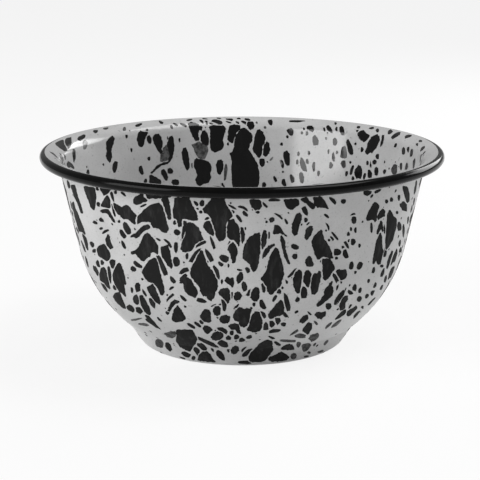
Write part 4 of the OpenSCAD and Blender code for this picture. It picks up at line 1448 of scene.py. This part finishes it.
@dataclass
class Splatter:
    """Black splashes on one face: closed islands of slight thickness that follow the pale coat.

    Lengths are real, apart from the vein and the nudge, which are in the photograph's pixels.
    """

    face: Face
    chart: Chart
    view: PhotoView
    patches: tuple[Patch, ...]
    drops: tuple[Drop, ...]
    fills: tuple[Fill, ...]
    seed: int
    low: float
    high: float
    proud: float = 0.05 * MM
    shoulder: float = 0.03 * MM
    buried: float = 0.07 * MM
    vein: float = 0.9
    edge_step: float = 1.6 * MM
    rise_step: float = 3 * MM
    bend_step: float = 0.12
    turn_steps: int = 200
    steepest: float = 3.4
    widest: float = 0.7
    least: float = 0.3
    core: float = 0.12
    trims: int = 9
    corners: tuple[int, int] = (8, 48)
    nudge: float = 0.75
    shifts: int = 9
    most_pull: float = 0.9
    pulls: int = 19
    pull_share: float = 0.2
    rows: int = 400
    tries_each: int = 12
    tapers: tuple[float, float] = (-0.3, 0.45)
    crowding: float = 0.3
    shown_outside: float = 0.36
    shown_inside: float = -0.25
    shown_level: float = 50 * MM
    past_seam: float = 1.3
    cut_slack: float = 1e-6
    crease: float = 50.0

    def __post_init__(self) -> None:
        """Lay the seen splashes, then the scattered ones."""
        self.random = np.random.default_rng(self.seed)
        self.pixel = 1 / self.view.pixels_per_metre
        self.splashes: list[LaidPatch | LaidDrop] = []
        for patch in self.patches:
            self.lay_patch(patch)
        for drop in self.drops:
            self.lay_drop(drop)
        for fill in self.fills:
            self.scatter(fill)

    def cast(self, pixels: np.ndarray) -> np.ndarray:
        """Azimuth and run of the place that each pixel shows."""
        return self.chart.cast(self.view.place, self.view.rays(pixels))

    def stretch(self, pixel: np.ndarray) -> float:
        """How many times wider a step across the photograph is on the face.

        Args:
            pixel: Where the step is.

        Returns:
            The ratio, at least 1.
        """
        turns, runs = self.cast(pixel + np.array([[-1, 0], [1, 0]])).T
        if np.isnan(turns).any():
            return self.steepest
        across = abs(math.remainder(turns[1] - turns[0], TURN)) * float(self.chart.radius(runs[0]))
        return max(1.0, across / (2 * self.pixel))

    def lay_patch(self, patch: Patch) -> None:
        """Carry a patch from the photograph to the face.

        A corner past the edge of the face is drawn in towards the patch's centre.

        Args:
            patch: The patch in the photograph.
        """
        outline = patch.outline(self.random, self.stretch(np.mean(patch.corners, axis=0)))
        centre = outline.mean(axis=0)
        for pull in np.linspace(0, self.most_pull, self.pulls):
            pixels = np.vstack([centre, outline])
            places = self.cast(pixels)
            turned_away = np.abs(np.angle(np.exp(1j * (places[:, 0] - places[0, 0])))) > self.widest
            missed = np.isnan(places[:, 0]) | turned_away
            if not missed.any():
                break
            drawn_in = centre + (outline - centre) * (1 - pull * self.pull_share)
            outline = np.where(missed[1:, None], drawn_in, outline)
        else:
            log.info("patch at %.0f, %.0f misses the face", *centre)
            return
        radius = float(self.chart.radius(places[0, 1]))
        self.splashes.append(LaidPatch(patch, places, radius, self.pixel))

    def lay_drop(self, drop: Drop) -> None:
        """Carry a drop from the photograph to the face.

        A drop past the edge of the face is moved in until it lies on it.

        Args:
            drop: The drop in the photograph.
        """
        inwards = 1 if drop.x < self.view.axis_x else -1
        cross = self.nudge * np.array([[0, 0], [1, 0], [-1, 0], [0, 1], [0, -1]])
        for shift in range(self.shifts):
            found = self.cast(cross + (drop.x + inwards * shift, drop.y))
            if not np.isnan(found).any():
                break
        else:
            log.info("drop at %.0f, %.0f misses the face", drop.x, drop.y)
            return
        azimuth, run = found[0]
        radius = float(self.chart.radius(run))
        turn = np.angle(np.exp(1j * (found[:, 0] - azimuth))) * radius
        across = np.array([turn[1] - turn[2], found[1, 1] - found[2, 1]]) / (2 * self.nudge)
        down = np.array([turn[3] - turn[4], found[3, 1] - found[4, 1]]) / (2 * self.nudge)
        left, sizes, right = np.linalg.svd(np.column_stack([down, across]))
        spread = left @ np.diag(np.minimum(sizes, self.steepest * self.pixel)) @ right
        lean = math.radians(drop.lean)
        leant = np.array([[math.cos(lean), -math.sin(lean)], [math.sin(lean), math.cos(lean)]])
        self.keep(drop, azimuth, run, spread @ leant)

    def keep(self, drop: Drop, azimuth: float, run: float, axes: np.ndarray) -> None:
        """Keep a laid drop, with the phases of its ragged edge."""
        phases = self.random.uniform(0, TURN, len(LaidDrop.WAVES))
        self.splashes.append(LaidDrop(drop, azimuth, run, float(self.chart.radius(run)), axes, phases))

    def hidden(self, azimuth: float, run: float) -> bool:
        """Whether the photograph doesn't show a place on the face.

        Args:
            azimuth: Angle round the axis.
            run: Length up the section.

        Returns:
            True if it is out of sight.
        """
        front = math.cos(azimuth + math.pi / 2)
        if self.face is Face.OUTSIDE:
            return front < self.shown_outside
        return front > self.shown_inside or self.chart.level(run) < self.shown_level

    def scatter(self, fill: Fill) -> None:
        """Scatter drops of one kind where there is room.

        Args:
            fill: What to scatter, and between which heights.
        """
        runs = (fill.low, fill.high)
        if not fill.on_base:
            runs = (self.chart.run_at_level(fill.low), self.chart.run_at_level(fill.high))
        grid = np.linspace(*runs, self.rows)
        weight = np.cumsum(self.chart.radius(grid))
        placed = tries = 0
        while placed < fill.count and tries < fill.count * self.tries_each:
            tries += 1
            run = float(np.interp(self.random.uniform(0, weight[-1]), weight, grid))
            azimuth = self.random.uniform(-math.pi, math.pi)
            length = self.random.uniform(fill.shortest, fill.longest)
            width = length / self.random.uniform(1, fill.stretch)
            lean = math.radians(self.random.normal(0, fill.lean))
            taper = self.random.uniform(*self.tapers)
            if fill.behind and not self.hidden(azimuth, run) or self.crowded(azimuth, run, width):
                continue
            axes = np.array([[math.sin(lean), math.cos(lean)], [-math.cos(lean), math.sin(lean)]])
            drop = Drop(x=0, y=0, long=length, wide=width, taper=taper)
            self.keep(drop, azimuth, run, axes * self.pixel)
            placed += 1

    def crowded(self, azimuth: float, run: float, width: float) -> bool:
        """Whether a new drop of this width has no room."""
        place = np.array([azimuth]), np.array([run])
        return any(splash.outside(*place)[0] < width * self.crowding
                   for splash in self.near(azimuth, run, width * self.pixel))

    def near(self, azimuth: float, run: float, reach: float) -> list[LaidPatch | LaidDrop]:
        """Splashes that may come within reach of a place."""
        return [splash for splash in self.splashes
                if abs(run - splash.run) < splash.reach + reach
                and abs(math.remainder(azimuth - splash.azimuth, TURN)) * splash.radius
                < splash.reach + reach]

    def trimmed(self, laid: LaidDrop) -> tuple[np.ndarray, np.ndarray] | None:
        """Draw a drop's outline, kept a vein's width clear of its neighbours.

        Args:
            laid: The drop on the face.

        Returns:
            Azimuths and runs, or nothing if the neighbours leave it no room.
        """
        around = math.pi * (laid.drop.long + laid.drop.wide) / 2 * laid.scale
        count = int(np.clip(around / self.edge_step, *self.corners))
        angle = np.linspace(0, TURN, count, endpoint=False)
        neighbours = [other for other in self.near(laid.azimuth, laid.run, laid.reach) if other is not laid]
        low, high = np.zeros(count), np.ones(count)
        for attempt in range(self.trims):
            test = high if attempt == 0 else (low + high) / 2
            places = laid.places(test, angle)
            own = laid.outside(*places)
            clear = np.ones(count, bool)
            for other in neighbours:
                least = self.vein + (own if isinstance(other, LaidDrop) else 0)
                clear &= other.outside(*places) > least
            low, high = np.where(clear, test, low), np.where(clear, high, test)
        if np.median(low) < self.least:
            return None
        return laid.places(np.maximum(low, self.core), angle)

    def flat_mesh(self, name: str) -> bpy.types.Object:
        """Draw every splash as one face on the flat chart, with its turn along X and its run along Y.

        Args:
            name: Name of the piece.

        Returns:
            The flat piece.
        """
        points, faces, thin = [], [], []
        for splash in self.splashes:
            outline = splash.outline() if isinstance(splash, LaidPatch) else self.trimmed(splash)
            if outline is None or not self.low < splash.run < self.high:
                continue
            flat = np.column_stack([outline[0], np.clip(outline[1], self.low, self.high) / self.high])
            after = np.roll(flat, -1, axis=0)
            area = (flat[:, 0] * after[:, 1] - after[:, 0] * flat[:, 1]).sum()
            if area * self.chart.side < 0:
                flat = flat[::-1]
            faces.append(tuple(range(len(points), len(points) + len(flat))))
            points.extend((turn, rise, 0.0) for turn, rise in flat)
            # Each splash's grey share goes onto its points. On some it is glaze laid thinly, and on others
            # it is a painted highlight and a painted floor reflection.
            thin.extend([splash.thin] * len(flat))
        mesh = bpy.data.meshes.new(name)
        mesh.from_pydata(points, [], faces)
        mesh.attributes.new("thin", "FLOAT", "POINT").data.foreach_set("value", thin)
        piece = bpy.data.objects.new(name, mesh)
        bpy.context.scene.collection.objects.link(piece)
        return piece

    def cut_lines(self) -> list[tuple[Vector, Vector]]:
        """Find lines that cut the flat chart finely enough to bend round the bowl.

        Returns:
            A point and a normal of each line.
        """
        end = self.past_seam * math.pi
        lines = [(Vector((turn, 0, 0)), Vector((1, 0, 0)))
                 for turn in np.arange(-end, end, TURN / self.turn_steps)]
        last_run, last_lean = self.low, None
        for run, normal in zip(self.chart.runs, self.chart.normals):
            lean = math.atan2(normal[1], normal[0])
            if last_lean is None:
                last_lean = lean
            bent = abs(math.remainder(lean - last_lean, TURN))
            due = max(bent / self.bend_step, (run - last_run) / self.rise_step) >= 1
            if not due or not self.low < run < self.high:
                continue
            lines.append((Vector((0, run / self.high, 0)), Vector((0, 1, 0))))
            last_run, last_lean = run, lean
        return lines

    def build(self, name: str, material: bpy.types.Material) -> bpy.types.Object:
        """Draw every splash, bend it round the face and give it its thickness.

        Args:
            name: Name of the piece.
            material: The splashes' finish.

        Returns:
            The piece.
        """
        piece = self.flat_mesh(name)
        pick(piece)
        bpy.ops.object.mode_set(mode="EDIT")
        bpy.ops.mesh.select_all(action="SELECT")
        bpy.ops.mesh.quads_convert_to_tris(quad_method="BEAUTY", ngon_method="BEAUTY")
        for point, normal in self.cut_lines():
            bpy.ops.mesh.select_all(action="SELECT")
            bpy.ops.mesh.bisect(plane_co=point, plane_no=normal, threshold=self.cut_slack)
        bpy.ops.object.mode_set(mode="OBJECT")
        mesh = piece.data
        flat = np.empty(len(mesh.vertices) * 3)
        mesh.vertices.foreach_get("co", flat)
        flat = flat.reshape(-1, 3)
        shared = Counter(key for polygon in mesh.polygons for key in polygon.edge_keys)
        lift = np.full(len(flat), self.proud)
        lift[[end for key, faces in shared.items() if faces == 1 for end in key]] = self.shoulder
        bent = self.chart.place(flat[:, 0], flat[:, 1] * self.high, lift)
        mesh.vertices.foreach_set("co", bent.ravel())
        mesh.update()
        thickness = piece.modifiers.new("thickness", "SOLIDIFY")
        thickness.thickness = self.proud + self.buried
        thickness.offset = -1
        bpy.ops.object.modifier_apply(modifier=thickness.name)
        bpy.ops.object.shade_smooth_by_angle(angle=math.radians(self.crease))
        dress(piece, material)
        return piece


@dataclass(frozen=True)
class Lamp:
    """A soft rectangular lamp, placed by its bearing from the bowl."""

    name: str
    bearing: float
    elevation: float
    distance: float
    wide: float
    high: float
    power: float

    def light(self, aim: Vector) -> None:
        """Add the lamp. A bearing of 0 is the camera's side and 90 is the right.

        Args:
            aim: What it faces.
        """
        turn, rise = math.radians(self.bearing), math.radians(self.elevation)
        away = Vector((math.sin(turn) * math.cos(rise), -math.cos(turn) * math.cos(rise), math.sin(rise)))
        data = bpy.data.lights.new(self.name, "AREA")
        data.shape = "RECTANGLE"
        data.size, data.size_y = self.wide, self.high
        data.energy = self.power
        lamp = bpy.data.objects.new(self.name, data)
        bpy.context.scene.collection.objects.link(lamp)
        lamp.location = aim + away * self.distance
        lamp.rotation_euler = away.to_track_quat("Z", "Y").to_euler()


@dataclass
class Studio:
    """White floor, soft lamps and a dim even surround."""

    aim: Vector
    floor_radius: float = 6.0
    floor_facets: int = 96
    floor_roughness: float = 0.9
    floor_white: float = 0.93
    floor_glow: float = 0.86
    ambient: float = 0.25
    lamps: tuple[Lamp, ...] = (
        Lamp("key_softbox", bearing=-58, elevation=23, distance=1.1, wide=0.75, high=0.66, power=7.0),
        Lamp("back_softbox", bearing=134, elevation=23, distance=1.03, wide=0.75, high=0.36, power=4.8),
        Lamp("top_softbox", bearing=95, elevation=66, distance=1.2, wide=0.6, high=0.6, power=5.5),
    )

    def lay_floor(self) -> None:
        """Lay the floor, which is white to look at and keeps the bowl's shadow."""
        select_nothing()
        bpy.ops.mesh.primitive_circle_add(vertices=self.floor_facets, radius=self.floor_radius,
                                          fill_type="NGON", location=(0, 0, 0))
        floor = bpy.context.object
        floor.name = "floor"
        nodes = NodeTree("white_floor")
        nodes.shader.inputs["Base Color"].default_value = grey(self.floor_white)
        nodes.shader.inputs["Roughness"].default_value = self.floor_roughness
        nodes.shader.inputs["Specular IOR Level"].default_value = 0.0
        glow = nodes.add("ShaderNodeEmission", {"Strength": 1.0})
        path = nodes.add("ShaderNodeLightPath").outputs
        looked_at = path["Is Camera Ray"]
        for name in ("Is Glossy Ray", "Is Transmission Ray"):
            either = {0: looked_at, 1: path[name]}
            looked_at = nodes.add("ShaderNodeMath", either, operation="MAXIMUM").outputs[0]
        factors = {0: looked_at, 1: self.floor_glow}
        share = nodes.add("ShaderNodeMath", factors, operation="MULTIPLY").outputs[0]
        links = {0: share, 1: nodes.shader.outputs[0], 2: glow.outputs[0]}
        both = nodes.add("ShaderNodeMixShader", links)
        nodes.feed(nodes.tree.nodes["Material Output"], "Surface", both.outputs[0])
        floor.data.materials.append(nodes.material)

    def set_surround(self) -> None:
        """Make the world a dim even light."""
        world = bpy.data.worlds.new("surround")
        bpy.context.scene.world = world
        world.use_nodes = True
        background = world.node_tree.nodes["Background"].inputs
        background["Color"].default_value = grey(1.0)
        background["Strength"].default_value = self.ambient

    def build(self) -> None:
        """Set the floor, the surround and the lamps, and the plain view transform."""
        self.lay_floor()
        self.set_surround()
        for lamp in self.lamps:
            lamp.light(self.aim)
        bpy.context.scene.view_settings.view_transform = "Standard"


def dress_hidden_layers() -> None:
    """Give the steel and the ground coats, which stay as they were packed, their finishes."""
    steel, ground = PickledSteel().material(), GroundEnamel().material()
    finishes = {"steel_shell": steel, "ground_coat_inside": ground, "ground_coat_outside": ground}
    for node, material in finishes.items():
        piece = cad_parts[node]
        piece.data.materials.clear()
        piece.data.materials.append(material)
        log.info("%s: carried over, %s", node, material.name)


def main() -> None:
    """Build the bowl's looks, the studio and the camera."""
    logging.basicConfig(level=logging.INFO, format="%(name)s: %(message)s")
    low, high = CAD_BOX
    rim_radius = min(-low.x, -low.y, high.x, high.y)
    section = BowlSection(rim_diameter=2 * rim_radius, height=high.z - INSET)
    view = PhotoView()
    margin = 1 * MM

    dress_hidden_layers()
    outer_pale = PaleEnamel("pale_outer_enamel", specular=0.15, roughness=0.34)
    inner_pale = PaleEnamel("pale_inner_enamel", specular=0.5, roughness=0.14)
    # Each black finish's wash grey is what a splash's grey share mixes towards. Besides thinly laid glaze,
    # it paints the highlight on the inner lip and the floor reflection at the foot.
    band = BlackEnamel("black_band_enamel", black=0.003, streak=0.005, washed=0.1, specular=0.1)
    outer_black = BlackEnamel("black_outer_enamel", black=0.02, streak=0.05, washed=0.34, specular=0.01,
                              roughness=0.4)
    inner_black = BlackEnamel("black_inner_enamel", black=0.002, streak=0.006, washed=0.34, specular=0.4)
    CoverCoats(section).build(outer_pale.material(), inner_pale.material(), band.material())

    chart = Chart(section.outside(0.0), Face.OUTSIDE)
    foot_run = chart.runs[np.argmin(chart.points[:, 1])] + section.standing_width + margin
    outer = Splatter(Face.OUTSIDE, chart, view, OUTSIDE_PATCHES, OUTSIDE_DROPS, OUTSIDE_FILLS, seed=11,
                     low=foot_run, high=chart.runs[-1] - margin)
    outer.build("splatter_outside", outer_black.material())

    chart = Chart(section.inside(section.wall), Face.INSIDE)
    crest_run = chart.runs[np.argmax(chart.points[:, 1])]
    inner = Splatter(Face.INSIDE, chart, view, INSIDE_PATCHES, INSIDE_DROPS, INSIDE_FILLS, seed=23,
                     low=margin, high=crest_run)
    inner.build("splatter_inside", inner_black.material())

    Studio(aim=Vector((0, 0, view.target_height))).build()
    view.set_camera()


if __name__ == "__main__":
    main()
